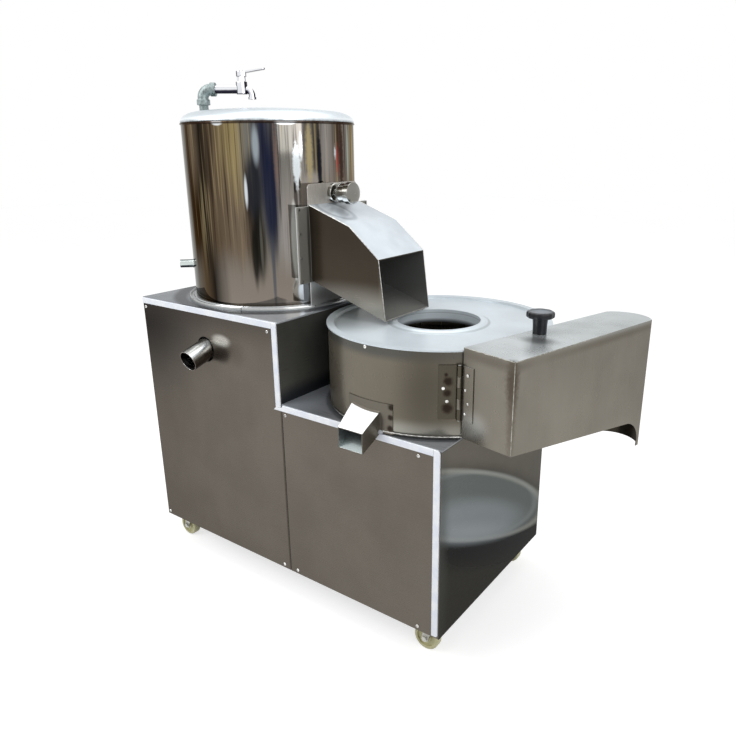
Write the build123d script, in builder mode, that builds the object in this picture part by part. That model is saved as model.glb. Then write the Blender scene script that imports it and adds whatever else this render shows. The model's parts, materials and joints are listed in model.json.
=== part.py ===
from build123d import *
import os
from math import atan2, cos, degrees, radians, sin, sqrt, tan

# Potato peeling and slicing machine: a stepped cabinet on casters carries a peeling drum,
# whose outlet chute pours into a slicing drum with a hinged discharge hood.
# Millimetres, +X towards the slicer, +Y to the back, +Z up, origin on the floor.
os.makedirs("parts", exist_ok=True)

# Cabinet
cabinet_left = -550.0
cabinet_front = -214.0
cabinet_length = 868.0
cabinet_depth = 474.0
low_length = 408.5
tall_height = 602.5
step_drop = 182.5
sheet = 1.5
lip = 4.0
seam_gap = 1.2
fit_gap = 0.3
run_clearance = 0.05
cut_over = 5.0

# Base frame, posts and casters
frame_wall = 3.0
frame_rise = 30.0
frame_flange = 40.0
gusset = 84.0
post_leg = 25.0
caster_height = 71.0
caster_inset = 43.0
caster_trail = 10.0
caster_plate_side = 62.0
caster_plate_sheet = 3.0
caster_plate_round = 7.0
caster_race_r = 21.0
kingpin_r = 4.0
kingpin_head_r = 7.0
kingpin_head = 2.0
fork_sheet = 2.5
fork_crown_r = 19.0
wheel_r = 29.0
wheel_width = 20.0
wheel_gap = 3.2
wheel_side_gap = 1.5
axle_r = 4.0
fork_eye_r = 8.0
axle_head_r = 6.5
axle_head = 3.0
tyre_round = 4.0
hub_r = 12.0
web_depth = 4.0
tyre_inner_r = 21.0

# Front trim and screws
strip_width = 14.0
strip_thick = 3.0
strip_round = 1.2
strip_drop = 1.5
strip_corner_r = 8.0
strip_edge = 3.5
strip_tail = 7.0
strip_tip = 22.0
strip_tip_top = 5.0
strip_foot = 5.0
screw_r = 4.5
screw_head = 2.6
screw_edge = 1.1
panel_screw_drop = 24.0
panel_screw_side = 10.0
panel_screw_step = 30.0
panel_screw_right = 52.0
panel_screw_foot = 10.0
foot_screw_tall = 20.0
foot_screw_low = 22.0

# Louvres and cable gland of the back panel
louvre_length = 130.0
louvre_rise = 9.0
louvre_slot = 5.0
louvre_pitch = 26.0
louvre_count = 6
louvre_from_top = 170.0
gland_r = 11.0
gland_nut_r = 14.0
gland_nut = 7.0
gland_length = 22.0
gland_bore_r = 5.0
gland_side = 60.0
gland_up = 60.0

# Peeling drum
drum_r = 200.0
drum_wall = 2.0
drum_floor = 3.0
drum_height = 401.5
rim_bead = 2.5
rim_bead_height = 5.0
ring_width = 17.5
ring_height = 6.0
ring_tabs = 8
ring_slot = 2.0
ring_root = 3.0
ring_round = 1.2
liner_thick = 5.0
liner_height = 300.0
nozzle_r = 9.8
nozzle_wall = 2.0
nozzle_up = 76.3
nozzle_length = 33.5
nozzle_angle = 224.0
nozzle_weld = 3.0
nozzle_weld_out = 1.2

# Drain pipe
drain_r = 25.0
drain_wall = 2.0
drain_offset = 8.0
drain_drop = 114.5
drain_out = 52.4
drain_bearing_gap = 12.0
drain_slope = 17.4
drain_bend_r = 45.0
drain_hole_gap = 2.5

# Cover and tap
cover_sheet = 2.0
cover_crown = 33.0
cover_shoulder_in = 34.0
cover_shoulder = 24.0
cover_edge = 3.0
cover_over = 0.5
cover_spigot = 12.0
cover_spigot_gap = 1.5
tap_angle = 35.4
tap_inset = 50.5
tap_axis_up = 75.0
nipple_r = 10.5
elbow_r = 12.5
elbow_bore_r = 8.0
elbow_bend_r = 19.0
elbow_collar_r = 15.2
elbow_collar = 12.0
elbow_collar_drop = 15.0
nipple_tail = 12.0
shank_r = 9.2
valve_r = 13.0
valve_below = 11.0
valve_above = 17.0
valve_round = 2.0
bonnet_r = 10.0
bonnet_height = 10.0
valve_offset = 61.0
spout_tube_r = 7.5
spout_tube_bore_r = 5.0
spout_bend_r = 14.0
spout_reach = 9.0
spout_drop = 8.0
spout_lip_r = 9.0
spout_lip = 5.0
spindle_r = 4.0
spindle_height = 14.0
lever_hub_r = 11.0
lever_hub_height = 12.0
lever_length = 56.0
lever_width = 15.0
lever_tip_width = 11.0
lever_thick = 4.0
lever_rise = 8.0

# Outlet of the peeling drum, with its gate and chute
outlet_shift = -15.0
outlet_stand = 1.2
outlet_plate = 2.5
outlet_half_width = 84.0
outlet_flange = 36.0
outlet_low = 60.5
outlet_high = 226.0
outlet_foot_gap = 0.3
window_half_width = 74.0
window_low = 72.0
window_high = 212.0
neck_margin = 5.0
gate_sheet = 2.0
gate_half_width = 105.0
gate_side_gap = 1.0
gate_height = 206.0
gate_tongue_half = 84.0
gate_round = 10.0
gate_sill = 6.0
gate_knob_up = 250.5
knob_boss_r = 20.5
knob_boss = 9.0
knob_neck_r = 8.0
knob_neck = 14.0
knob_rim_r = 24.0
knob_barrel_r = 20.5
knob_inner_r = 22.5
knob_inner_rim = 3.0
knob_barrel = 18.0
knob_outer_rim = 14.0
knob_dome = 5.0
knob_round = 2.0
chute_sheet = 1.5
chute_top_root = 229.5
chute_knee_x = 112.5
chute_knee_up = 190.0
chute_mouth_top_x = 187.5
chute_mouth_low_x = 204.0
chute_mouth_height = 129.0
chute_over_lid = 2.5
chute_low_root = 64.8
chute_screw_rows = 4
chute_screw_margin = 5.0
chute_screw_r = 3.2
chute_screw_head = 1.8

# Rotor of the peeling drum
shaft_r = 15.0
shaft_tail = 8.0
shaft_hole_gap = 1.0
disc_gap = 5.0
disc_thick = 12.0
disc_lift = 14.0
disc_hub_r = 34.0
disc_hub = 20.0
wave_count = 3
wave_start = 30.0
wave_end_gap = 14.0
nut_r = 17.0
nut_height = 14.0
nut_dome = 9.0
stud_r = 8.0
nut_corner = 2.0
nut_dome_r = 7.0

# Drives, one under each drum
bearing_flange_r = 60.0
bearing_flange = 8.0
bearing_body_r = 36.0
bearing_body = 62.0
motor_wall_gap = 11.0
pulley_drop = 130.0
pulley_space = 28.0
motor_pitch_r = 32.0
pulley_width = 20.0
pulley_lip = 5.0
pulley_hub_r = 26.0
pulley_hub = 30.0
groove_floor = 1.5
groove_flank = 18.0
belt_width = 10.0
belt_depth = 8.0
belt_gap = 0.4
motor_shaft_r = 9.0
motor_shaft_in = 45.0
motor_r = 68.0
motor_length = 205.0
motor_bell = 26.0
motor_bell_r = 58.0
motor_flange_r = 76.0
motor_flange = 7.0
motor_fins = 16
motor_fin_out = 5.0
motor_fin_wide = 3.0
bracket_sheet = 5.0
bracket_half_width = 92.0
bracket_half_depth = 62.0
bracket_drop = 158.0
bracket_foot = 26.0

# Slicing drum
slicer_step_gap = 12.25
slicer_overhang = 1.0
slicer_wall = 2.0
slicer_height = 178.0
slicer_round = 8.0
slicer_ring_inset = 9.0
slicer_ring_width = 24.0
slicer_ring = 4.0
slicer_window_half = 150.0
slicer_window_low = 16.0
slicer_window_high = 142.0
lid_wall = 2.0
lid_overhang = 3.0
lid_edge = 3.0
lid_skirt = 10.0
lid_skirt_gap = 0.4
lid_rim_width = 15.0
lid_rim_rise = 6.0
lid_rim_slope = 3.0
lid_screw_turns = [94.0, 184.0, 266.0]
lid_screw_drop = 5.0
collar_base_r = 111.0
collar_r = 100.0
collar_rise = 5.0
collar_round = 1.2
feed_r = 90.0
feed_neck = 26.0

# Rotor of the slicing drum
cutter_gap = 10.0
cutter_sheet = 5.0
cutter_up = 96.0
cutter_hub_r = 40.0
cutter_hub = 22.0
cutter_blades_count = 4
slot_margin = 18.0
slot_width = 16.0
slot_start = 58.0
blade_width = 30.0
blade_thick = 3.0
blade_over = 9.0
blade_bevel = 7.0
blade_edge = 0.4
paddle_count = 3
paddle_height = 66.0
paddle_thick = 4.0
paddle_gap = 9.0
cutter_nut_r = 20.0
cutter_nut_height = 12.0
cutter_nut_corner = 2.0

# Water spout of the slicing drum
spout_left = -53.7
spout_root_width = 75.0
spout_mouth_width = 60.0
spout_root_top = 56.0
spout_root_height = 46.0
spout_mouth_top = 11.0
spout_mouth_height = 44.0
spout_out = 44.0
spout_root_in = 12.0
spout_sheet = 1.5
spout_flange_width = 24.0
spout_flange_up = 8.0

# Discharge hood and its hinge
pin_r = 2.5
knuckle_r = 5.0
knuckle_wall_gap = 0.6
knuckle_gap = 0.4
pin_angle = -48.9
pin_head_r = 4.0
pin_head = 2.0
hinge_low = 43.5
hinge_height = 107.0
knuckle_count = 5
leaf_width = 27.0
drum_leaf_width = 38.0
leaf_sheet = 2.0
rivet_r = 3.0
rivet_head = 1.2
drum_rivet_shares = [(0.58, 0.34), (0.77, 0.58)]
hood_rivet_shares = [(0.27, 0.13), (0.53, 0.33), (0.26, 0.57), (0.53, 0.85)]
hood_sheet = 1.5
hood_over_lid = 7.0
hood_root_out = 4.0
hood_nose_x = 119.5
hood_nose_y = -29.6
hood_far_x = 227.5
hood_far_y = 400.0
hood_bulge_x = 182.5
hood_bulge_y = 438.0
hood_tail_x = 124.0
hood_tail_y = 420.0
hood_low_up = 10.0
hood_sag_y = 344.0
hood_sag_drop = 44.0
hood_turn_y = 382.0
hood_turn_drop = 66.0
hood_end_y = 391.0
hood_end_drop = 109.0

# Black knob of the hood
hood_knob_in = 3.0
hood_knob_y = -14.0
grip_stem_r = 13.5
grip_stem_top_r = 15.5
grip_stem = 32.0
grip_head_r = 27.3
grip_head = 12.0
grip_round = 5.0
grip_skirt = 3.0
grip_stud_r = 4.0

# Places worked out from the sizes
tall_length = cabinet_length - low_length
cabinet_right = cabinet_left + cabinet_length
cabinet_back = cabinet_front + cabinet_depth
cabinet_mid_y = cabinet_front + cabinet_depth / 2
step_x = cabinet_left + tall_length
cabinet_bottom = caster_height
tall_top = cabinet_bottom + tall_height
low_top = tall_top - step_drop
tall_skirt = tall_top - lip
low_skirt = low_top - lip
peeler_x = cabinet_left + tall_length / 2
peeler_y = cabinet_mid_y
slicer_r = cabinet_depth / 2 + slicer_overhang
slicer_x = step_x + slicer_step_gap + slicer_r
slicer_y = cabinet_mid_y
lid_rim_top = low_top + slicer_height
drain_x = peeler_x - drain_offset
rim_z = tall_top + drum_height
floor_top = tall_top + drum_floor
disc_low = floor_top + disc_lift
disc_r = drum_r - drum_wall - liner_thick - disc_gap
cutter_r = slicer_r - slicer_wall - cutter_gap
slot_length = cutter_r - slot_margin - slot_start
belt_centres = cabinet_depth / 2 - motor_flange_r - motor_wall_gap
pulley_pitch_r = belt_centres - motor_pitch_r - 2 * pulley_lip - pulley_space
drives = [(peeler_x, peeler_y, tall_top), (slicer_x, slicer_y, low_top)]
peeler_drive, slicer_drive = drives


def box_sketch(x_low, x_high, y_low, y_high, mode=Mode.ADD):
    """Add a rectangle between two corners to the sketch that is open."""
    with Locations(((x_low + x_high) / 2, (y_low + y_high) / 2)):
        Rectangle(x_high - x_low, y_high - y_low, mode=mode)


def front_plane(y):
    """Return the upright plane at y whose sketches are drawn in x and z."""
    return Plane.XZ.offset(-y)


def side_plane(x):
    """Return the upright plane at x whose sketches are drawn in y and z."""
    return Plane.YZ.offset(x)


# Side panels, front edge to back edge
with BuildPart() as left_side_panel:
    with BuildSketch(side_plane(cabinet_left)):
        box_sketch(cabinet_front, cabinet_back, cabinet_bottom, tall_skirt)
    extrude(amount=sheet)
left_side_panel.part.label = "left_side_panel"
export_step(left_side_panel.part, "parts/left_side_panel.step")

with BuildPart() as right_side_panel:
    with BuildSketch(side_plane(cabinet_right)):
        box_sketch(cabinet_front, cabinet_back, cabinet_bottom, low_skirt)
    extrude(amount=-sheet)
right_side_panel.part.label = "right_side_panel"
export_step(right_side_panel.part, "parts/right_side_panel.step")

# Riser panel at the step
with BuildPart() as riser_panel:
    with BuildSketch(side_plane(step_x)):
        box_sketch(cabinet_front + sheet, cabinet_back - sheet, low_skirt, tall_skirt)
    extrude(amount=-sheet)
riser_panel.part.label = "riser_panel"
export_step(riser_panel.part, "parts/riser_panel.step")

# Front panels, with an oval opening round the drain pipe in the tall one
drain_mouth_z = tall_top - drain_drop
drain_hole_r = drain_r + drain_hole_gap
with BuildPart() as front_panel_tall:
    with BuildSketch(front_plane(cabinet_front)):
        box_sketch(cabinet_left + sheet, step_x - seam_gap / 2, cabinet_bottom, tall_skirt)
        with Locations((drain_x, drain_mouth_z + drain_out * tan(radians(drain_slope)))):
            Ellipse(drain_hole_r, drain_hole_r / cos(radians(drain_slope)), mode=Mode.SUBTRACT)
    extrude(amount=-sheet)
front_panel_tall.part.label = "front_panel_tall"
export_step(front_panel_tall.part, "parts/front_panel_tall.step")

with BuildPart() as front_panel_low:
    with BuildSketch(front_plane(cabinet_front)):
        box_sketch(step_x + seam_gap / 2, cabinet_right - sheet, cabinet_bottom, low_skirt)
    extrude(amount=-sheet)
front_panel_low.part.label = "front_panel_low"
export_step(front_panel_low.part, "parts/front_panel_low.step")

# Back panel: one stepped sheet with two banks of pressed louvres and the gland's hole
louvre_banks = [
    (cabinet_left + tall_length / 2, tall_top - louvre_from_top),
    (step_x + (cabinet_length - tall_length) / 2, low_top - louvre_from_top),
]
louvre_places = [
    (x, top - row * louvre_pitch) for x, top in louvre_banks for row in range(louvre_count)
]
gland_x = cabinet_left + gland_side
gland_z = cabinet_bottom + gland_up
with BuildPart() as back_panel:
    with BuildSketch(front_plane(cabinet_back)):
        box_sketch(cabinet_left + sheet, step_x, cabinet_bottom, tall_skirt)
        box_sketch(step_x, cabinet_right - sheet, cabinet_bottom, low_skirt)
        with Locations(*louvre_places):
            Rectangle(louvre_length, louvre_slot, mode=Mode.SUBTRACT)
        with Locations((gland_x, gland_z)):
            Circle(gland_r, mode=Mode.SUBTRACT)
    extrude(amount=sheet)
    for x, z in louvre_places:
        with BuildSketch(side_plane(x - louvre_length / 2)):
            with BuildLine():
                Polyline(
                    (cabinet_back, z + louvre_slot / 2),
                    (cabinet_back, z + louvre_slot / 2 + louvre_rise),
                    (cabinet_back + louvre_rise, z - louvre_slot / 2),
                    (cabinet_back + louvre_rise - sheet, z - louvre_slot / 2),
                    close=True,
                )
            make_face()
        extrude(amount=louvre_length)
back_panel.part.label = "back_panel"
export_step(back_panel.part, "parts/back_panel.step")

# Cable gland on the back panel, an empty inlet
with BuildPart() as cable_gland:
    with BuildSketch(front_plane(cabinet_back - sheet)):
        with Locations((gland_x, gland_z)):
            Circle(gland_r)
    extrude(amount=-(gland_length + sheet))
    with BuildSketch(front_plane(cabinet_back)):
        with Locations((gland_x, gland_z)):
            RegularPolygon(gland_nut_r, 6)
    extrude(amount=-gland_nut)
    with BuildSketch(front_plane(cabinet_back - sheet - cut_over)):
        with Locations((gland_x, gland_z)):
            Circle(gland_bore_r)
    extrude(amount=-(gland_length + 2 * sheet + 2 * cut_over), mode=Mode.SUBTRACT)
cable_gland.part.label = "cable_gland"
export_step(cable_gland.part, "parts/cable_gland.step")


# Top plates: shallow folded trays with a narrow lip all round
def tray(x_low, x_high, top):
    """Add a tray that spans the cabinet's depth between two places along it."""
    with BuildSketch(Plane.XY.offset(top - lip)) as outline:
        box_sketch(x_low, x_high, cabinet_front, cabinet_back)
    extrude(outline.sketch, amount=lip)
    with BuildSketch(Plane.XY.offset(top - lip)) as outline:
        box_sketch(x_low + sheet, x_high - sheet, cabinet_front + sheet, cabinet_back - sheet)
    extrude(outline.sketch, amount=lip - sheet, mode=Mode.SUBTRACT)


drain_y = peeler_y - bearing_flange_r - drain_r - drain_bearing_gap
with BuildPart() as tall_top_plate:
    tray(cabinet_left, step_x, tall_top)
    with BuildSketch(Plane.XY.offset(tall_top - lip)):
        with Locations((peeler_x, peeler_y)):
            Circle(shaft_r + shaft_hole_gap)
        with Locations((drain_x, drain_y)):
            Circle(drain_r + shaft_hole_gap)
    extrude(amount=lip + cut_over, mode=Mode.SUBTRACT)
tall_top_plate.part.label = "tall_top_plate"
export_step(tall_top_plate.part, "parts/tall_top_plate.step")

with BuildPart() as low_top_plate:
    tray(step_x, cabinet_right, low_top)
    with BuildSketch(Plane.XY.offset(low_top - lip)):
        with Locations((slicer_x, slicer_y)):
            Circle(shaft_r + shaft_hole_gap)
    extrude(amount=lip + cut_over, mode=Mode.SUBTRACT)
low_top_plate.part.label = "low_top_plate"
export_step(low_top_plate.part, "parts/low_top_plate.step")

# Welded frame: a ring of angle iron with a cross member under the step, corner gussets and six posts
frame_left = cabinet_left + sheet
frame_right = cabinet_right - sheet
frame_front = cabinet_front + sheet
frame_back = cabinet_back - sheet
post_inset = frame_wall + sheet
post_places = [
    (cabinet_left + post_inset, cabinet_front + post_inset, 1, 1, tall_top),
    (cabinet_left + post_inset, cabinet_back - post_inset, 1, -1, tall_top),
    (step_x - post_inset, cabinet_front + post_inset, -1, 1, tall_top),
    (step_x - post_inset, cabinet_back - post_inset, -1, -1, tall_top),
    (cabinet_right - post_inset, cabinet_front + post_inset, -1, 1, low_top),
    (cabinet_right - post_inset, cabinet_back - post_inset, -1, -1, low_top),
]
with BuildPart() as cabinet_frame:
    with BuildSketch(Plane.XY.offset(cabinet_bottom)):
        box_sketch(frame_left, frame_right, frame_front, frame_back)
    extrude(amount=frame_rise)
    with BuildSketch(Plane.XY.offset(cabinet_bottom + frame_wall)):
        for x_low, x_high in [
            (frame_left + frame_wall, step_x - frame_wall / 2),
            (step_x + frame_wall / 2, frame_right - frame_wall),
        ]:
            box_sketch(x_low, x_high, frame_front + frame_wall, frame_back - frame_wall)
    extrude(amount=frame_rise, mode=Mode.SUBTRACT)
    with BuildSketch(Plane.XY.offset(cabinet_bottom)):
        for x_low, x_high in [
            (frame_left + frame_flange, step_x - frame_flange / 2),
            (step_x + frame_flange / 2, frame_right - frame_flange),
        ]:
            box_sketch(x_low, x_high, frame_front + frame_flange, frame_back - frame_flange)
        for x_low, x_high in [(frame_left, frame_left + gusset), (frame_right - gusset, frame_right)]:
            box_sketch(x_low, x_high, frame_front, frame_front + gusset, mode=Mode.SUBTRACT)
            box_sketch(x_low, x_high, frame_back - gusset, frame_back, mode=Mode.SUBTRACT)
    extrude(amount=frame_wall, mode=Mode.SUBTRACT)
    for x, y, to_x, to_y, top in post_places:
        with BuildSketch(Plane.XY.offset(cabinet_bottom + frame_wall)):
            with Locations((x + to_x * post_leg / 2, y + to_y * frame_wall / 2)):
                Rectangle(post_leg, frame_wall)
            with Locations((x + to_x * frame_wall / 2, y + to_y * post_leg / 2)):
                Rectangle(frame_wall, post_leg)
        extrude(amount=top - sheet - cabinet_bottom - frame_wall)
cabinet_frame.part.label = "cabinet_frame"
export_step(cabinet_frame.part, "parts/cabinet_frame.step")

# Casters: fixed plates with their kingpins, swivelling forks and wheels with the axle along Y
caster_places = {
    "front_left": (cabinet_left + caster_inset, cabinet_front + caster_inset),
    "front_right": (cabinet_right - caster_inset, cabinet_front + caster_inset),
    "back_left": (cabinet_left + caster_inset, cabinet_back - caster_inset),
    "back_right": (cabinet_right - caster_inset, cabinet_back - caster_inset),
}
crown_low = 2 * wheel_r + wheel_gap
crown_top = crown_low + fork_sheet
race_low = crown_top + fit_gap
plate_low = cabinet_bottom - caster_plate_sheet
pin_low = crown_low - fit_gap
with BuildPart() as caster_plates:
    for x, y in caster_places.values():
        with BuildSketch(Plane.XY.offset(plate_low)):
            with Locations((x, y)):
                RectangleRounded(caster_plate_side, caster_plate_side, caster_plate_round)
        extrude(amount=caster_plate_sheet)
        with BuildSketch(Plane.XY.offset(race_low)):
            with Locations((x, y)):
                Circle(caster_race_r)
        extrude(amount=plate_low - race_low)
        with BuildSketch(Plane.XY.offset(pin_low)):
            with Locations((x, y)):
                Circle(kingpin_r)
        extrude(amount=race_low - pin_low)
        with BuildSketch(Plane.XY.offset(pin_low)):
            with Locations((x, y)):
                Circle(kingpin_head_r)
        extrude(amount=-kingpin_head)
caster_plates.part.label = "caster_plates"
export_step(caster_plates.part, "parts/caster_plates.step")

fork_inner = wheel_width / 2 + wheel_side_gap
for place, (x, y) in caster_places.items():
    with BuildPart() as caster_fork:
        with BuildSketch(Plane.XY.offset(crown_low)):
            with Locations((x, y)):
                Circle(fork_crown_r)
        extrude(amount=fork_sheet)
        for inner, outer in [(fork_inner, fork_inner + fork_sheet), (-fork_inner - fork_sheet, -fork_inner)]:
            with BuildSketch(front_plane(y + outer)):
                with Locations((x, crown_low + fork_sheet / 2)):
                    Rectangle(fork_crown_r, fork_sheet)
                with Locations((x - caster_trail, wheel_r)):
                    Circle(fork_eye_r)
                make_hull()
            extrude(amount=outer - inner)
        with BuildSketch(Plane.XY.offset(crown_low - cut_over)):
            with Locations((x, y)):
                Circle(kingpin_r + run_clearance)
        extrude(amount=fork_sheet + 2 * cut_over, mode=Mode.SUBTRACT)
        with BuildSketch(front_plane(y + fork_inner + fork_sheet)):
            with Locations((x - caster_trail, wheel_r)):
                Circle(axle_r)
        extrude(amount=2 * (fork_inner + fork_sheet))
        for side in (-1, 1):
            with BuildSketch(front_plane(y + side * (fork_inner + fork_sheet))):
                with Locations((x - caster_trail, wheel_r)):
                    RegularPolygon(axle_head_r, 6)
            extrude(amount=-side * axle_head)
    caster_fork.part.label = f"caster_fork_{place}"
    export_step(caster_fork.part, f"parts/caster_fork_{place}.step")

    with BuildPart() as caster_wheel:
        with BuildSketch(front_plane(y + wheel_width / 2)):
            with Locations((x - caster_trail, wheel_r)):
                Circle(wheel_r)
        extrude(amount=wheel_width)
        rims = caster_wheel.edges().filter_by(GeomType.CIRCLE)
        fillet(rims, radius=tyre_round)
        for face_y, way in [(y + wheel_width / 2, 1), (y - wheel_width / 2, -1)]:
            with BuildSketch(front_plane(face_y)):
                with Locations((x - caster_trail, wheel_r)):
                    Circle(tyre_inner_r)
                    Circle(hub_r, mode=Mode.SUBTRACT)
            extrude(amount=way * web_depth, mode=Mode.SUBTRACT)
        with BuildSketch(front_plane(y + wheel_width / 2 + cut_over)):
            with Locations((x - caster_trail, wheel_r)):
                Circle(axle_r + run_clearance)
        extrude(amount=wheel_width + 2 * cut_over, mode=Mode.SUBTRACT)
    caster_wheel.part.label = f"caster_wheel_{place}"
    export_step(caster_wheel.part, f"parts/caster_wheel_{place}.step")

# Edge strips on the front: under the tall top, down the riser, under the low top, down the right edge
strip_top_tall = tall_top - strip_drop
strip_top_low = low_top - strip_drop
riser_strip_x = step_x - strip_width - strip_drop
right_strip_x = cabinet_right - strip_edge - strip_width
strip_low = strip_top_low - strip_width
with BuildPart() as edge_strips:
    with BuildSketch(front_plane(cabinet_front)):
        box_sketch(
            cabinet_left + strip_drop, riser_strip_x - fit_gap, strip_top_tall - strip_width, strip_top_tall
        )
    extrude(amount=strip_thick)
    with BuildSketch(front_plane(cabinet_front)):
        box_sketch(riser_strip_x, riser_strip_x + strip_width, strip_top_low - strip_tail, strip_top_tall)
    extrude(amount=strip_thick)
    with BuildSketch(front_plane(cabinet_front)):
        with BuildLine():
            Polyline(
                (step_x - strip_tip, strip_low),
                (right_strip_x - fit_gap, strip_low),
                (right_strip_x - fit_gap, strip_top_low),
                (step_x + strip_tip_top, strip_top_low),
                (step_x + fit_gap, strip_top_low - strip_tail - fit_gap),
                (riser_strip_x + fit_gap, strip_top_low - strip_tail - fit_gap),
                close=True,
            )
        make_face()
    extrude(amount=strip_thick)
    with BuildSketch(front_plane(cabinet_front)):
        box_sketch(right_strip_x, right_strip_x + strip_width, cabinet_bottom + strip_foot, strip_top_low)
    extrude(amount=strip_thick)
    outer_corner = edge_strips.edges().filter_by(Axis.Y).group_by(Axis.X)[-1].sort_by(Axis.Z)
    fillet(outer_corner[-1], radius=strip_corner_r)
    lower_corner = edge_strips.edges().filter_by(Axis.Y).group_by(Axis.X)[-1].sort_by(Axis.Z)[0]
    fillet(lower_corner, radius=strip_width / 3)
    front_faces = edge_strips.faces().filter_by(Axis.Y).group_by(Axis.Y)[0]
    fillet(front_faces.edges(), radius=strip_round)
edge_strips.part.label = "edge_strips"
export_step(edge_strips.part, "parts/edge_strips.step")

# Drain pipe: a straight spigot that slants down through the front and bends up to the drum's floor
drain_knee_z = drain_mouth_z + (drain_y - cabinet_front + drain_out) * tan(radians(drain_slope))
with BuildPart() as drain_pipe:
    with BuildLine(side_plane(drain_x)) as drain_path:
        FilletPolyline(
            (cabinet_front - drain_out, drain_mouth_z),
            (drain_y, drain_knee_z),
            (drain_y, tall_top),
            radius=drain_bend_r,
        )
    with BuildSketch(Plane(origin=drain_path.line @ 0, z_dir=drain_path.line % 0)):
        Circle(drain_r)
        Circle(drain_r - drain_wall, mode=Mode.SUBTRACT)
    sweep()
drain_pipe.part.label = "drain_pipe"
export_step(drain_pipe.part, "parts/drain_pipe.step")

# Outlet places, seen from the drum's axis
outlet_y = peeler_y + outlet_shift
outlet_back_x = peeler_x + drum_r + outlet_stand
outlet_x = outlet_back_x + outlet_plate
gate_x = outlet_x + fit_gap
chute_x = gate_x + gate_sheet + fit_gap
spacer = chute_x - outlet_x
neck_half = window_half_width + neck_margin

# Side nozzle direction
nozzle_plane = Plane(
    origin=(peeler_x, peeler_y, tall_top + nozzle_up),
    x_dir=(0, 0, 1),
    z_dir=(cos(radians(nozzle_angle)), sin(radians(nozzle_angle)), 0),
)

# Peeling drum: a can with a rolled rim, an outlet window and holes for shaft, drain and nozzle
with BuildPart() as peeler_drum:
    with BuildSketch(Plane.XY.offset(tall_top)):
        with Locations((peeler_x, peeler_y)):
            Circle(drum_r)
    extrude(amount=drum_height)
    with BuildSketch(Plane.XY.offset(rim_z - rim_bead_height)):
        with Locations((peeler_x, peeler_y)):
            Circle(drum_r + rim_bead)
    extrude(amount=rim_bead_height)
    fillet(peeler_drum.edges().filter_by(GeomType.CIRCLE).group_by(SortBy.RADIUS)[-1], radius=rim_bead / 2)
    with BuildSketch(Plane.XY.offset(floor_top)):
        with Locations((peeler_x, peeler_y)):
            Circle(drum_r - drum_wall)
    extrude(amount=drum_height, mode=Mode.SUBTRACT)
    with BuildSketch(Plane.XY.offset(tall_top - cut_over)):
        with Locations((peeler_x, peeler_y)):
            Circle(shaft_r + shaft_hole_gap)
        with Locations((drain_x, drain_y)):
            Circle(drain_r - drain_wall)
    extrude(amount=drum_floor + 2 * cut_over, mode=Mode.SUBTRACT)
    with BuildSketch(side_plane(peeler_x + drum_r / 2)):
        box_sketch(
            outlet_y - window_half_width,
            outlet_y + window_half_width,
            tall_top + window_low,
            tall_top + window_high,
        )
    extrude(amount=drum_r, mode=Mode.SUBTRACT)
    with BuildSketch(nozzle_plane):
        Circle(nozzle_r - nozzle_wall)
    extrude(amount=drum_r + cut_over, mode=Mode.SUBTRACT)
peeler_drum.part.label = "peeler_drum"
export_step(peeler_drum.part, "parts/peeler_drum.step")

# Base ring: the flange is slit into tabs
with BuildPart() as drum_base_ring:
    with BuildSketch(Plane.XY.offset(tall_top)):
        with Locations((peeler_x, peeler_y)):
            Circle(drum_r + ring_width)
            Circle(drum_r, mode=Mode.SUBTRACT)
            with PolarLocations(drum_r + ring_root + ring_width / 2, ring_tabs, start_angle=180 / ring_tabs):
                Rectangle(ring_width, ring_slot, mode=Mode.SUBTRACT)
    extrude(amount=ring_height)
    fillet(drum_base_ring.faces().sort_by(Axis.Z)[-1].edges().filter_by(GeomType.CIRCLE), radius=ring_round)
drum_base_ring.part.label = "drum_base_ring"
export_step(drum_base_ring.part, "parts/drum_base_ring.step")

# Abrasive liner inside the drum, open at the outlet and at the nozzle
with BuildPart() as drum_liner:
    with BuildSketch(Plane.XY.offset(floor_top)):
        with Locations((peeler_x, peeler_y)):
            Circle(drum_r - drum_wall)
            Circle(drum_r - drum_wall - liner_thick, mode=Mode.SUBTRACT)
    extrude(amount=liner_height)
    with BuildSketch(side_plane(peeler_x + drum_r / 2)):
        box_sketch(
            outlet_y - window_half_width,
            outlet_y + window_half_width,
            tall_top + window_low,
            tall_top + window_high,
        )
    extrude(amount=drum_r, mode=Mode.SUBTRACT)
    with BuildSketch(nozzle_plane):
        Circle(nozzle_r - nozzle_wall)
    extrude(amount=drum_r, mode=Mode.SUBTRACT)
drum_liner.part.label = "drum_liner"
export_step(drum_liner.part, "parts/drum_liner.step")

# Side nozzle: a short tube butted to the drum, with a weld collar at its root
with BuildPart() as side_nozzle:
    with BuildSketch(nozzle_plane.offset(drum_r / 2)):
        Circle(nozzle_r)
    extrude(amount=drum_r / 2 + nozzle_length)
    with BuildSketch(nozzle_plane.offset(drum_r / 2)):
        Circle(nozzle_r + nozzle_weld_out)
    extrude(amount=drum_r / 2 + nozzle_weld)
    with BuildSketch(Plane.XY.offset(tall_top)):
        with Locations((peeler_x, peeler_y)):
            Circle(drum_r)
    extrude(amount=drum_height, mode=Mode.SUBTRACT)
    with BuildSketch(nozzle_plane):
        Circle(nozzle_r - nozzle_wall)
    extrude(amount=drum_r + nozzle_length + cut_over, mode=Mode.SUBTRACT)
side_nozzle.part.label = "side_nozzle"
export_step(side_nozzle.part, "parts/side_nozzle.step")

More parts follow.
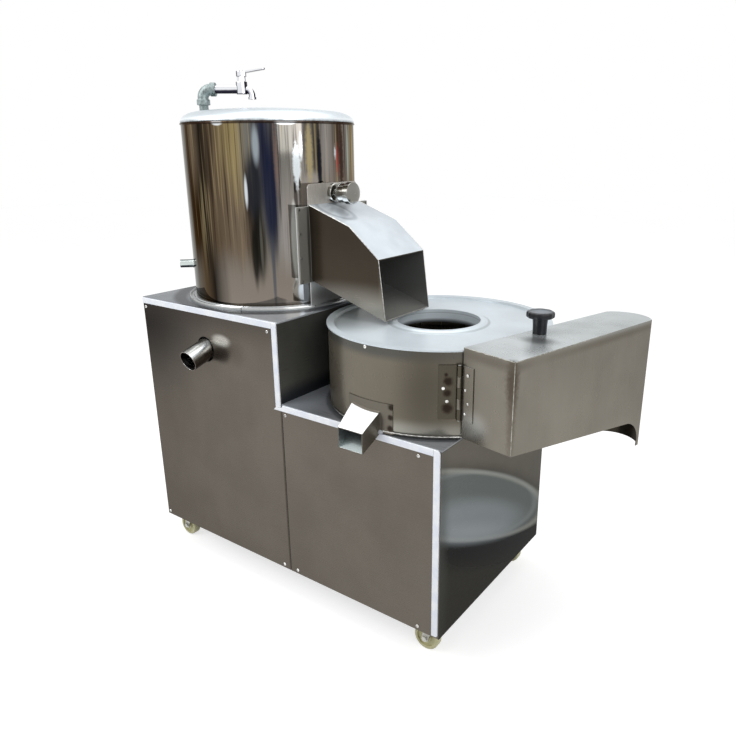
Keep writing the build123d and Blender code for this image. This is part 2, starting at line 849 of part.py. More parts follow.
# Outlet frame: a short neck on the drum and a front plate whose spacers leave the gate's slot
gate_low = tall_top + outlet_low + gate_sill + fit_gap
with BuildPart() as outlet_frame:
    with BuildSketch(side_plane(peeler_x + drum_r / 2)):
        box_sketch(
            outlet_y - neck_half,
            outlet_y + neck_half,
            tall_top + window_low - neck_margin,
            tall_top + window_high + neck_margin,
        )
    extrude(amount=outlet_back_x - peeler_x - drum_r / 2)
    with BuildSketch(side_plane(outlet_back_x)):
        box_sketch(
            outlet_y - outlet_half_width - outlet_flange,
            outlet_y + outlet_half_width + outlet_flange,
            tall_top + outlet_low,
            tall_top + outlet_high,
        )
        box_sketch(
            outlet_y - outlet_half_width,
            outlet_y + outlet_half_width,
            tall_top + ring_height + outlet_foot_gap,
            tall_top + outlet_low,
        )
    extrude(amount=outlet_plate)
    with BuildSketch(side_plane(outlet_x)):
        box_sketch(
            outlet_y - outlet_half_width - outlet_flange,
            outlet_y + outlet_half_width + outlet_flange,
            tall_top + outlet_low,
            tall_top + outlet_high,
        )
        box_sketch(
            outlet_y - gate_half_width - gate_side_gap,
            outlet_y + gate_half_width + gate_side_gap,
            tall_top + outlet_low + gate_sill,
            tall_top + outlet_high + cut_over,
            mode=Mode.SUBTRACT,
        )
    extrude(amount=spacer)
    with BuildSketch(Plane.XY.offset(tall_top)):
        with Locations((peeler_x, peeler_y)):
            Circle(drum_r)
    extrude(amount=drum_height, mode=Mode.SUBTRACT)
    with BuildSketch(side_plane(peeler_x)):
        box_sketch(
            outlet_y - window_half_width,
            outlet_y + window_half_width,
            tall_top + window_low,
            tall_top + window_high,
        )
    extrude(amount=2 * drum_r, mode=Mode.SUBTRACT)
outlet_frame.part.label = "outlet_frame"
export_step(outlet_frame.part, "parts/outlet_frame.step")

# Gate plate: slides up behind the chute's flanges, with a narrower tongue for the knob above them
with BuildPart() as gate_plate:
    with BuildSketch(side_plane(gate_x)):
        box_sketch(outlet_y - gate_half_width, outlet_y + gate_half_width, gate_low, tall_top + outlet_high)
        box_sketch(outlet_y - gate_tongue_half, outlet_y + gate_tongue_half, gate_low, gate_low + gate_height)
    extrude(amount=gate_sheet)
    fillet(
        gate_plate.edges().filter_by(Axis.X).group_by(Axis.Z)[-1],
        radius=gate_round,
    )
gate_plate.part.label = "gate_plate"
export_step(gate_plate.part, "parts/gate_plate.step")

# Gate knob: a turned spool, axis along X
gate_face = gate_x + gate_sheet
knob_neck_x = gate_face + knob_boss
knob_rim_x = knob_neck_x + knob_neck
knob_barrel_x = knob_rim_x + knob_inner_rim
knob_head_x = knob_barrel_x + knob_barrel
knob_end_x = knob_head_x + knob_outer_rim
knob_z = tall_top + gate_knob_up
with BuildPart() as gate_knob:
    with BuildSketch(Plane(origin=(0, outlet_y, knob_z), x_dir=(1, 0, 0), z_dir=(0, -1, 0))):
        with BuildLine():
            Polyline(
                (knob_end_x + knob_dome, 0),
                (gate_face, 0),
                (gate_face, knob_boss_r),
                (knob_neck_x - knob_round, knob_boss_r),
                (knob_neck_x, knob_boss_r - knob_round),
                (knob_neck_x, knob_neck_r),
                (knob_rim_x, knob_neck_r),
                (knob_rim_x, knob_inner_r - knob_round),
                (knob_rim_x + knob_round, knob_inner_r),
                (knob_barrel_x, knob_inner_r),
                (knob_barrel_x, knob_barrel_r),
                (knob_head_x, knob_barrel_r),
                (knob_head_x, knob_rim_r),
                (knob_end_x, knob_rim_r),
            )
            TangentArc((knob_end_x + knob_dome, 0), (knob_end_x, knob_rim_r), tangent=(0, 1))
        make_face()
    revolve(axis=Axis((0, outlet_y, knob_z), (1, 0, 0)))
gate_knob.part.label = "gate_knob"
export_step(gate_knob.part, "parts/gate_knob.step")

# Outlet chute: a folded box with a kneed roof, open at the gate and at its mouth, flanged at the root
chute_mouth_z = lid_rim_top + chute_over_lid
with BuildPart() as outlet_chute:
    with BuildSketch(front_plane(outlet_y + outlet_half_width)):
        with BuildLine():
            Polyline(
                (chute_x, tall_top + chute_low_root),
                (chute_x + chute_mouth_low_x, chute_mouth_z),
                (chute_x + chute_mouth_top_x, chute_mouth_z + chute_mouth_height),
                (chute_x + chute_knee_x, tall_top + chute_knee_up),
                (chute_x, tall_top + chute_top_root),
                close=True,
            )
        make_face()
    extrude(amount=2 * outlet_half_width)
    root_face = outlet_chute.faces().sort_by(Axis.X)[0]
    mouth_face = outlet_chute.faces().filter_by(lambda f: f.normal_at().X > sqrt(3) / 2)[0]
    offset(amount=-chute_sheet, openings=[root_face, mouth_face], kind=Kind.INTERSECTION)
    with BuildSketch(side_plane(chute_x)):
        box_sketch(
            outlet_y - outlet_half_width - outlet_flange,
            outlet_y + outlet_half_width + outlet_flange,
            tall_top + outlet_low,
            tall_top + outlet_high,
        )
        box_sketch(
            outlet_y - outlet_half_width + chute_sheet,
            outlet_y + outlet_half_width - chute_sheet,
            tall_top + chute_low_root,
            tall_top + outlet_high,
            mode=Mode.SUBTRACT,
        )
    extrude(amount=chute_sheet)
outlet_chute.part.label = "outlet_chute"
export_step(outlet_chute.part, "parts/outlet_chute.step")

# Top cover: a dished lid with a spigot that centres it in the drum
cover_low = rim_z + fit_gap
cover_edge_r = drum_r + cover_over
cover_shoulder_r = drum_r - cover_shoulder_in
tap_root = tap_inset - drum_r
tap_way = Vector(cos(radians(tap_angle)), sin(radians(tap_angle)), 0)
tap_plane = Plane(origin=(peeler_x, peeler_y, rim_z), x_dir=tap_way, z_dir=tap_way.cross(Vector(0, 0, 1)))
nipple_x = peeler_x + tap_root * tap_way.X
nipple_y = peeler_y + tap_root * tap_way.Y
spigot_r = drum_r - drum_wall - cover_spigot_gap
with BuildPart() as top_cover:
    with BuildSketch(Plane(origin=(peeler_x, peeler_y, cover_low), x_dir=(1, 0, 0), z_dir=(0, -1, 0))):
        with BuildLine():
            crown = TangentArc(
                (0, cover_crown), (cover_shoulder_r, cover_shoulder), tangent=(1, 0)
            )
            shoulder = TangentArc(crown @ 1, (cover_edge_r, cover_edge), tangent=crown % 1)
            Polyline(shoulder @ 1, (cover_edge_r, 0), (0, 0), (0, cover_crown))
        make_face()
    revolve(axis=Axis((peeler_x, peeler_y, 0), (0, 0, 1)))
    offset(amount=-cover_sheet, openings=top_cover.faces().sort_by(Axis.Z)[0])
    with BuildSketch(Plane.XY.offset(cover_low)):
        with Locations((peeler_x, peeler_y)):
            Circle(cover_edge_r)
            Circle(spigot_r - cover_sheet, mode=Mode.SUBTRACT)
    extrude(amount=cover_sheet)
    with BuildSketch(Plane.XY.offset(cover_low)):
        with Locations((peeler_x, peeler_y)):
            Circle(spigot_r)
            Circle(spigot_r - cover_sheet, mode=Mode.SUBTRACT)
    extrude(amount=-cover_spigot)
    with BuildSketch(Plane.XY.offset(cover_low + cover_sheet)):
        with Locations((nipple_x, nipple_y)):
            Circle(nipple_r)
    extrude(amount=cover_crown + cut_over, mode=Mode.SUBTRACT)
top_cover.part.label = "top_cover"
export_step(top_cover.part, "parts/top_cover.step")

# Water elbow: nipple through the cover, banded elbow, collar around the tap's shank
elbow_low = tap_axis_up - elbow_bend_r
with BuildPart() as water_elbow:
    with BuildLine(tap_plane) as elbow_path:
        FilletPolyline(
            (tap_root, elbow_low - elbow_collar_drop),
            (tap_root, tap_axis_up),
            (tap_root + elbow_bend_r + elbow_collar, tap_axis_up),
            radius=elbow_bend_r,
        )
    with BuildSketch(Plane(origin=elbow_path.line @ 0, z_dir=elbow_path.line % 0)):
        Circle(elbow_r)
    sweep()
    with BuildSketch(Plane(origin=elbow_path.line @ 0, z_dir=elbow_path.line % 0)):
        Circle(elbow_collar_r)
    extrude(amount=elbow_collar)
    with BuildSketch(Plane(origin=elbow_path.line @ 1, z_dir=elbow_path.line % 1)):
        Circle(elbow_collar_r)
    extrude(amount=-elbow_collar)
    with BuildSketch(Plane(origin=elbow_path.line @ 0, z_dir=elbow_path.line % 0)):
        Circle(nipple_r)
    extrude(amount=-(elbow_low - elbow_collar_drop - cover_shoulder + nipple_tail))
    with BuildLine(tap_plane) as bore_path:
        FilletPolyline(
            (tap_root, cover_shoulder - nipple_tail - cut_over),
            (tap_root, tap_axis_up),
            (tap_root + elbow_bend_r + elbow_collar + cut_over, tap_axis_up),
            radius=elbow_bend_r,
        )
    with BuildSketch(Plane(origin=bore_path.line @ 0, z_dir=bore_path.line % 0)):
        Circle(elbow_bore_r)
    sweep(path=bore_path.line, mode=Mode.SUBTRACT)
water_elbow.part.label = "water_elbow"
export_step(water_elbow.part, "parts/water_elbow.step")

# Tap body: long shank, valve chamber with its bonnet and spindle, down-turned spout
shank_start = tap_root + elbow_bend_r + elbow_collar
valve_x = shank_start + valve_offset
shank_plane = Plane(origin=tap_plane.from_local_coords((shank_start, tap_axis_up, 0)), z_dir=tap_way)
valve_at = tap_plane.from_local_coords((valve_x, tap_axis_up, 0))
bonnet_low = valve_at.Z + valve_above
spindle_low = bonnet_low + bonnet_height
with BuildPart() as tap_body:
    with BuildSketch(shank_plane):
        Circle(shank_r)
    extrude(amount=valve_offset)
    with BuildSketch(Plane(origin=valve_at - Vector(0, 0, valve_below))):
        Circle(valve_r)
    extrude(amount=valve_below + valve_above)
    fillet(tap_body.edges().filter_by(GeomType.CIRCLE).group_by(SortBy.RADIUS)[-1], radius=valve_round)
    with BuildSketch(Plane(origin=(valve_at.X, valve_at.Y, bonnet_low))):
        RegularPolygon(bonnet_r, 6)
    extrude(amount=bonnet_height)
    with BuildSketch(Plane(origin=(valve_at.X, valve_at.Y, spindle_low))):
        Circle(spindle_r)
    extrude(amount=spindle_height)
    with BuildLine(tap_plane) as spout_path:
        FilletPolyline(
            (valve_x, tap_axis_up),
            (valve_x + spout_reach + spout_bend_r, tap_axis_up),
            (valve_x + spout_reach + spout_bend_r, tap_axis_up - spout_bend_r - spout_drop),
            radius=spout_bend_r,
        )
    with BuildSketch(Plane(origin=spout_path.line @ 0, z_dir=spout_path.line % 0)):
        Circle(spout_tube_r)
    sweep(path=spout_path.line)
    with BuildSketch(Plane(origin=spout_path.line @ 1, z_dir=spout_path.line % 1)):
        Circle(spout_lip_r)
    extrude(amount=-spout_lip)
    with BuildSketch(Plane(origin=spout_path.line @ 1, z_dir=spout_path.line % 1)):
        Circle(spout_tube_bore_r)
    extrude(amount=-(spout_drop + spout_lip), mode=Mode.SUBTRACT)
tap_body.part.label = "tap_body"
export_step(tap_body.part, "parts/tap_body.step")

# Tap lever: a hub on the spindle and a blade that rises towards its tip
hub_low = spindle_low + fit_gap
with BuildPart() as tap_lever:
    with BuildSketch(Plane(origin=(valve_at.X, valve_at.Y, hub_low))):
        Circle(lever_hub_r)
    extrude(amount=lever_hub_height)
    with BuildSketch(Plane(origin=(valve_at.X, valve_at.Y, hub_low), x_dir=tap_way, z_dir=(0, 0, 1))):
        with Locations((0, 0)):
            Circle(lever_width / 2)
        with Locations((lever_length - lever_tip_width / 2, 0)):
            Circle(lever_tip_width / 2)
        make_hull()
    extrude(amount=lever_hub_height + lever_rise)
    with BuildSketch(Plane(origin=valve_at, x_dir=tap_way, z_dir=tap_plane.z_dir)):
        with BuildLine():
            hub_top = hub_low + lever_hub_height - valve_at.Z
            Polyline(
                (-2 * lever_hub_r, hub_low - valve_at.Z - cut_over),
                (2 * lever_length, hub_low - valve_at.Z - cut_over),
                (2 * lever_length, hub_top + 2 * lever_rise - lever_thick),
                (lever_hub_r, hub_top - lever_thick),
                (lever_hub_r, hub_low - valve_at.Z),
                (-2 * lever_hub_r, hub_low - valve_at.Z),
                close=True,
            )
        make_face()
        with BuildLine():
            Polyline(
                (-2 * lever_hub_r, hub_top),
                (lever_hub_r, hub_top),
                (2 * lever_length, hub_top + 2 * lever_rise),
                (2 * lever_length, hub_top + 2 * lever_rise + lever_length),
                (-2 * lever_hub_r, hub_top + 2 * lever_rise + lever_length),
                close=True,
            )
        make_face()
    extrude(amount=lever_width, both=True, mode=Mode.SUBTRACT)
    with BuildSketch(Plane(origin=(valve_at.X, valve_at.Y, hub_low - cut_over))):
        Circle(spindle_r + run_clearance)
    extrude(amount=spindle_height + cut_over + fit_gap, mode=Mode.SUBTRACT)
tap_lever.part.label = "tap_lever"
export_step(tap_lever.part, "parts/tap_lever.step")

# Abrasive disc: a flat disc with radial waves and a hub
disc_top = disc_low + disc_thick
with BuildPart() as abrasive_disc:
    with BuildSketch(Plane.XY.offset(disc_low)):
        with Locations((peeler_x, peeler_y)):
            Circle(disc_r)
    extrude(amount=disc_thick)
    with BuildSketch(Plane.XY.offset(disc_low)):
        with Locations((peeler_x, peeler_y)):
            Circle(disc_hub_r)
    extrude(amount=disc_hub)
    for wave in range(wave_count):
        wave_way = Vector(1, 0, 0).rotate(Axis.Z, 360 * wave / wave_count)
        with BuildSketch(
            Plane(origin=Vector(peeler_x, peeler_y, disc_top) + wave_way * wave_start, z_dir=wave_way)
        ):
            Circle(disc_thick)
        extrude(amount=disc_r - wave_end_gap - wave_start)
    with BuildSketch(Plane.XY.offset(disc_low - cut_over)):
        with Locations((peeler_x, peeler_y)):
            Circle(shaft_r)
    extrude(amount=disc_hub + 2 * cut_over, mode=Mode.SUBTRACT)
abrasive_disc.part.label = "abrasive_disc"
export_step(abrasive_disc.part, "parts/abrasive_disc.step")

# Dome nut that holds the disc
disc_hub_top = disc_low + disc_hub
with BuildPart() as disc_nut:
    with BuildSketch(Plane.XY.offset(disc_hub_top)):
        with Locations((peeler_x, peeler_y)):
            RegularPolygon(nut_r + nut_corner, 6)
            Circle(stud_r, mode=Mode.SUBTRACT)
    extrude(amount=nut_height - nut_dome)
    with BuildSketch(Plane.XY.offset(disc_hub_top + nut_height - nut_dome)):
        with Locations((peeler_x, peeler_y)):
            Circle(nut_r)
    extrude(amount=nut_dome)
    fillet(disc_nut.faces().sort_by(Axis.Z)[-1].edges(), radius=nut_dome_r)
disc_nut.part.label = "disc_nut"
export_step(disc_nut.part, "parts/disc_nut.step")


# Shafts: plain journals with a stud at the top, from below the pulley to the rotor's hub
def shaft(x, y, top, hub_top, stud):
    """Add a shaft under a drum, from below its pulley up to a hub's top and a stud above it."""
    low = top - pulley_drop - pulley_hub / 2 - shaft_tail
    with BuildSketch(Plane.XY.offset(low)) as outline:
        with Locations((x, y)):
            Circle(shaft_r)
    extrude(outline.sketch, amount=hub_top - low)
    with BuildSketch(Plane.XY.offset(hub_top)) as outline:
        with Locations((x, y)):
            Circle(stud_r)
    extrude(outline.sketch, amount=stud)


with BuildPart() as peeler_shaft:
    shaft(*peeler_drive, disc_hub_top, nut_height - nut_dome)
peeler_shaft.part.label = "peeler_shaft"
export_step(peeler_shaft.part, "parts/peeler_shaft.step")

cutter_low = low_top + cutter_up
cutter_hub_top = cutter_low + cutter_hub
with BuildPart() as slicer_shaft:
    shaft(*slicer_drive, cutter_hub_top, cutter_nut_height / 2)
slicer_shaft.part.label = "slicer_shaft"
export_step(slicer_shaft.part, "parts/slicer_shaft.step")

# Bearing housings hung under the top plates
with BuildPart() as bearing_housings:
    for x, y, top in drives:
        with BuildSketch(Plane.XY.offset(top - sheet)):
            with Locations((x, y)):
                Circle(bearing_flange_r)
        extrude(amount=-bearing_flange)
        with BuildSketch(Plane.XY.offset(top - sheet)):
            with Locations((x, y)):
                Circle(bearing_body_r)
        extrude(amount=-bearing_body)
        with BuildSketch(Plane.XY.offset(top - sheet + cut_over)):
            with Locations((x, y)):
                Circle(shaft_r + run_clearance)
        extrude(amount=-(bearing_body + 2 * cut_over), mode=Mode.SUBTRACT)
bearing_housings.part.label = "bearing_housings"
export_step(bearing_housings.part, "parts/bearing_housings.step")


# Pulleys: a V groove wide enough to clear the belt's flanks
def pulley_profile(pitch_r, bore_r):
    """Draw a half section of a grooved pulley in radius and height about its middle."""
    floor_r = pitch_r - belt_depth / 2 - groove_floor
    rim_r = pitch_r + pulley_lip
    floor_half = belt_width / 2 + belt_gap
    mouth_half = floor_half + (rim_r - floor_r) * tan(radians(groove_flank))
    with BuildLine() as section:
        Polyline(
            (bore_r, -pulley_width / 2),
            (rim_r, -pulley_width / 2),
            (rim_r, -mouth_half),
            (floor_r, -floor_half),
            (floor_r, floor_half),
            (rim_r, mouth_half),
            (rim_r, pulley_width / 2),
            (bore_r, pulley_width / 2),
            close=True,
        )
    make_face(section.edges())


def upright_section(x, y, z):
    """Return the plane of a half section about the upright axis at x and y."""
    return Plane(origin=(x, y, z), x_dir=(1, 0, 0), z_dir=(0, -1, 0))


def shaft_pulley(x, y, top):
    """Add the large pulley of a drive, with its hub, on the drum's shaft."""
    middle = top - pulley_drop
    with BuildSketch(upright_section(x, y, middle)) as outline:
        pulley_profile(pulley_pitch_r, shaft_r)
    revolve(outline.sketch, axis=Axis((x, y, middle), (0, 0, 1)))
    with BuildSketch(Plane.XY.offset(middle - pulley_hub / 2)) as outline:
        with Locations((x, y)):
            Circle(pulley_hub_r)
            Circle(shaft_r, mode=Mode.SUBTRACT)
    extrude(outline.sketch, amount=pulley_hub)


def motor_rotor(x, y, top):
    """Add the small pulley of a drive and the motor shaft that carries it."""
    middle = top - pulley_drop
    motor_top = top - bracket_drop - bracket_sheet
    with BuildSketch(upright_section(x, y + belt_centres, middle)) as outline:
        pulley_profile(motor_pitch_r, 0)
    revolve(outline.sketch, axis=Axis((x, y + belt_centres, middle), (0, 0, 1)))
    with BuildSketch(Plane.XY.offset(middle)) as outline:
        with Locations((x, y + belt_centres)):
            Circle(motor_shaft_r)
    extrude(outline.sketch, amount=motor_top - motor_shaft_in - middle)


with BuildPart() as peeler_pulley:
    shaft_pulley(*peeler_drive)
peeler_pulley.part.label = "peeler_pulley"
export_step(peeler_pulley.part, "parts/peeler_pulley.step")

with BuildPart() as slicer_pulley:
    shaft_pulley(*slicer_drive)
slicer_pulley.part.label = "slicer_pulley"
export_step(slicer_pulley.part, "parts/slicer_pulley.step")

with BuildPart() as peeler_motor_pulley:
    motor_rotor(*peeler_drive)
peeler_motor_pulley.part.label = "peeler_motor_pulley"
export_step(peeler_motor_pulley.part, "parts/peeler_motor_pulley.step")

with BuildPart() as slicer_motor_pulley:
    motor_rotor(*slicer_drive)
slicer_motor_pulley.part.label = "slicer_motor_pulley"
export_step(slicer_motor_pulley.part, "parts/slicer_motor_pulley.step")

# V-belts: closed loops round each pair of pulleys
with BuildPart() as drive_belts:
    for x, y, top in drives:
        for reach, mode in [(belt_depth / 2, Mode.ADD), (-belt_depth / 2, Mode.SUBTRACT)]:
            with BuildSketch(Plane.XY.offset(top - pulley_drop - belt_width / 2)):
                with Locations((x, y)):
                    Circle(pulley_pitch_r + reach)
                with Locations((x, y + belt_centres)):
                    Circle(motor_pitch_r + reach)
                make_hull()
            extrude(amount=belt_width, mode=mode)
drive_belts.part.label = "drive_belts"
export_step(drive_belts.part, "parts/drive_belts.step")


# Motors: a finned body between two end bells, hung from each bracket by a flange
with BuildPart() as drive_motors:
    for x, y, top in drives:
        motor_y = y + belt_centres
        motor_top = top - bracket_drop - bracket_sheet
        with BuildSketch(Plane.XY.offset(motor_top)):
            with Locations((x, motor_y)):
                Circle(motor_flange_r)
        extrude(amount=-motor_flange)
        with BuildSketch(Plane.XY.offset(motor_top)):
            with Locations((x, motor_y)):
                Circle(motor_bell_r)
        extrude(amount=-motor_length)
        with BuildSketch(Plane.XY.offset(motor_top - motor_bell)):
            with Locations((x, motor_y)):
                Circle(motor_r - motor_fin_out)
                with PolarLocations(motor_r - motor_fin_out, motor_fins):
                    Rectangle(2 * motor_fin_out, motor_fin_wide)
        extrude(amount=-(motor_length - 2 * motor_bell))
        with BuildSketch(Plane.XY.offset(motor_top + cut_over)):
            with Locations((x, motor_y)):
                Circle(motor_shaft_r + run_clearance)
        extrude(amount=-(motor_shaft_in + 2 * cut_over), mode=Mode.SUBTRACT)
drive_motors.part.label = "drive_motors"
export_step(drive_motors.part, "parts/drive_motors.step")

# Motor brackets: a folded hanger with two legs and feet under each top plate
with BuildPart() as motor_brackets:
    for x, y, top in drives:
        motor_y = y + belt_centres
        bracket_low = top - bracket_drop - bracket_sheet
        with BuildSketch(front_plane(motor_y - bracket_half_depth)):
            box_sketch(x - bracket_half_width, x + bracket_half_width, bracket_low, top - sheet)
            box_sketch(
                x - bracket_half_width + bracket_sheet,
                x + bracket_half_width - bracket_sheet,
                bracket_low + bracket_sheet,
                top - sheet,
                mode=Mode.SUBTRACT,
            )
            box_sketch(
                x - bracket_half_width - bracket_foot,
                x - bracket_half_width,
                top - sheet - bracket_sheet,
                top - sheet,
            )
            box_sketch(
                x + bracket_half_width,
                x + bracket_half_width + bracket_foot,
                top - sheet - bracket_sheet,
                top - sheet,
            )
        extrude(amount=-2 * bracket_half_depth)
        with BuildSketch(Plane.XY.offset(bracket_low - cut_over)):
            with Locations((x, motor_y)):
                Circle(motor_shaft_r + shaft_hole_gap)
        extrude(amount=bracket_sheet + 2 * cut_over, mode=Mode.SUBTRACT)
motor_brackets.part.label = "motor_brackets"
export_step(motor_brackets.part, "parts/motor_brackets.step")

# Slicing drum: a can with a rounded bottom edge, a discharge window and a spout hole
slicer_low = low_top + slicer_ring
lid_plate_top = lid_rim_top - lid_rim_rise
slicer_wall_top = lid_rim_top - lid_edge - fit_gap
spout_x = slicer_x + spout_left
spout_root_z = low_top + spout_root_top
with BuildPart() as slicer_drum:
    with BuildSketch(Plane.XY.offset(slicer_low)):
        with Locations((slicer_x, slicer_y)):
            Circle(slicer_r)
    extrude(amount=slicer_wall_top - slicer_low)
    fillet(slicer_drum.edges().sort_by(Axis.Z)[0], radius=slicer_round)
    offset(amount=-slicer_wall, openings=slicer_drum.faces().sort_by(Axis.Z)[-1])
    with BuildSketch(Plane.XY.offset(slicer_low - cut_over)):
        with Locations((slicer_x, slicer_y)):
            Circle(shaft_r + shaft_hole_gap)
    extrude(amount=slicer_wall + 2 * cut_over, mode=Mode.SUBTRACT)
    with BuildSketch(side_plane(slicer_x + slicer_r / 2)):
        box_sketch(
            slicer_y - slicer_window_half,
            slicer_y + slicer_window_half,
            low_top + slicer_window_low,
            low_top + slicer_window_high,
        )
    extrude(amount=slicer_r, mode=Mode.SUBTRACT)
    with BuildSketch(front_plane(slicer_y - slicer_r / 2)):
        box_sketch(
            spout_x + spout_sheet,
            spout_x + spout_root_width - spout_sheet,
            spout_root_z - spout_root_height + spout_sheet,
            spout_root_z - spout_sheet,
        )
    extrude(amount=slicer_r, mode=Mode.SUBTRACT)
slicer_drum.part.label = "slicer_drum"
export_step(slicer_drum.part, "parts/slicer_drum.step")

# Base ring between the slicing drum and the low top
with BuildPart() as slicer_base_ring:
    with BuildSketch(Plane.XY.offset(low_top)):
        with Locations((slicer_x, slicer_y)):
            Circle(slicer_r - slicer_ring_inset)
            Circle(slicer_r - slicer_ring_inset - slicer_ring_width, mode=Mode.SUBTRACT)
    extrude(amount=slicer_ring)
slicer_base_ring.part.label = "slicer_base_ring"
export_step(slicer_base_ring.part, "parts/slicer_base_ring.step")

# Slicer lid: plate with a raised rim that sits on the wall, a skirt inside it and a flared feed collar
lid_r = slicer_r + lid_overhang
lid_skirt_r = slicer_r - slicer_wall - lid_skirt_gap
lid_rim_in = lid_r - lid_rim_width
with BuildPart() as slicer_lid:
    with BuildSketch(upright_section(slicer_x, slicer_y, lid_plate_top)):
        with BuildLine():
            Polyline(
                (feed_r, lid_wall - feed_neck),
                (feed_r, collar_rise),
                (collar_r, collar_rise),
                (collar_base_r, 0),
                (lid_rim_in - lid_rim_slope, 0),
                (lid_rim_in, lid_rim_rise),
                (lid_r, lid_rim_rise),
                (lid_r, lid_rim_rise - lid_edge),
                (lid_skirt_r, lid_rim_rise - lid_edge),
                (lid_skirt_r, -lid_skirt),
                (lid_skirt_r - lid_wall, -lid_skirt),
                (lid_skirt_r - lid_wall, -lid_wall),
                (feed_r + lid_wall, -lid_wall),
                (feed_r + lid_wall, lid_wall - feed_neck),
                close=True,
            )
        make_face()
    revolve(axis=Axis((slicer_x, slicer_y, 0), (0, 0, 1)))
    round_edges = slicer_lid.edges().filter_by(GeomType.CIRCLE).filter_by(
        lambda e: abs(e.radius - collar_r) < collar_round and e.center().Z > lid_plate_top
    )
    fillet(round_edges, radius=collar_round)
slicer_lid.part.label = "slicer_lid"
export_step(slicer_lid.part, "parts/slicer_lid.step")

# Cutter disc: slotted plate on a hub, with sweeper paddles below it
paddle_reach = cutter_r - paddle_gap
with BuildPart() as cutter_disc:
    with BuildSketch(Plane.XY.offset(cutter_low)):
        with Locations((slicer_x, slicer_y)):
            Circle(cutter_r)
            with PolarLocations(slot_start + slot_length / 2, cutter_blades_count):
                Rectangle(slot_length, slot_width, mode=Mode.SUBTRACT)
    extrude(amount=cutter_sheet)
    with BuildSketch(Plane.XY.offset(cutter_low)):
        with Locations((slicer_x, slicer_y)):
            with PolarLocations(paddle_reach / 2, paddle_count, start_angle=180 / cutter_blades_count):
                Rectangle(paddle_reach, paddle_thick)
    extrude(amount=-paddle_height)
    with BuildSketch(Plane.XY.offset(cutter_low - paddle_height)):
        with Locations((slicer_x, slicer_y)):
            Circle(cutter_hub_r)
    extrude(amount=paddle_height + cutter_hub)
    with BuildSketch(Plane.XY.offset(cutter_low - paddle_height - cut_over)):
        with Locations((slicer_x, slicer_y)):
            Circle(shaft_r)
    extrude(amount=paddle_height + cutter_hub + 2 * cut_over, mode=Mode.SUBTRACT)
cutter_disc.part.label = "cutter_disc"
export_step(cutter_disc.part, "parts/cutter_disc.step")

# Cutter blades: bars with a long bevel, seated beside the slots and reaching over them
blade_low = cutter_low + cutter_sheet
blade_back = slot_width / 2 - blade_over + blade_width
with BuildPart() as cutter_blades:
    for blade in range(cutter_blades_count):
        blade_way = Vector(1, 0, 0).rotate(Axis.Z, 360 * blade / cutter_blades_count)
        blade_side = blade_way.rotate(Axis.Z, 90)
        blade_root = Vector(slicer_x, slicer_y, blade_low) + blade_way * slot_start
        with BuildSketch(Plane(origin=blade_root, x_dir=blade_side, z_dir=blade_way)):
            with BuildLine():
                Polyline(
                    (slot_width / 2 - blade_over, 0),
                    (slot_width / 2 - blade_over, blade_edge),
                    (slot_width / 2 - blade_over + blade_bevel, blade_thick),
                    (blade_back, blade_thick),
                    (blade_back, 0),
                    close=True,
                )
            make_face()
        extrude(amount=slot_length)
cutter_blades.part.label = "cutter_blades"
export_step(cutter_blades.part, "parts/cutter_blades.step")

# Nut on the cutter's stud
with BuildPart() as cutter_nut:
    with BuildSketch(Plane.XY.offset(cutter_hub_top)):
        with Locations((slicer_x, slicer_y)):
            RegularPolygon(cutter_nut_r, 6)
            Circle(stud_r, mode=Mode.SUBTRACT)
    extrude(amount=cutter_nut_height / 2)
    with BuildSketch(Plane.XY.offset(cutter_hub_top + cutter_nut_height / 2)):
        with Locations((slicer_x, slicer_y)):
            Circle(cutter_nut_r - cutter_nut_corner)
    extrude(amount=cutter_nut_height / 2)
    fillet(cutter_nut.faces().sort_by(Axis.Z)[-1].edges(), radius=cutter_nut_height / 3)
cutter_nut.part.label = "cutter_nut"
export_step(cutter_nut.part, "parts/cutter_nut.step")

# Water spout: a tapered folded trough that leaves the drum over the cabinet's front, with a curved flange
spout_root_y = slicer_y - slicer_r + spout_root_in
spout_mouth_y = cabinet_front - spout_out
spout_planes = [
    (spout_root_y, spout_root_width, spout_root_z, spout_root_height),
    (spout_mouth_y, spout_mouth_width, low_top + spout_mouth_top, spout_mouth_height),
]
with BuildPart() as water_spout:
    for y, width, top, height in spout_planes:
        with BuildSketch(front_plane(y)):
            box_sketch(spout_x, spout_x + width, top - height, top)
    loft()
    with BuildSketch(Plane.XY.offset(spout_root_z + spout_flange_up)):
        with Locations((slicer_x, slicer_y)):
            Circle(slicer_r + spout_sheet)
        box_sketch(
            spout_x - spout_flange_width / 2,
            spout_x + spout_root_width + spout_flange_width,
            slicer_y - slicer_r - cut_over,
            slicer_y - slicer_r / 2,
            mode=Mode.INTERSECT,
        )
    extrude(amount=-(spout_root_height + 2 * spout_flange_up))
    with BuildSketch(Plane.XY.offset(low_top)):
        with Locations((slicer_x, slicer_y)):
            Circle(slicer_r)
    extrude(amount=slicer_height, mode=Mode.SUBTRACT)
    for y, width, top, height in spout_planes:
        with BuildSketch(front_plane(y)):
            box_sketch(
                spout_x + spout_sheet,
                spout_x + width - spout_sheet,
                top - height + spout_sheet,
                top - spout_sheet,
            )
    loft(mode=Mode.SUBTRACT)
water_spout.part.label = "water_spout"
export_step(water_spout.part, "parts/water_spout.step")

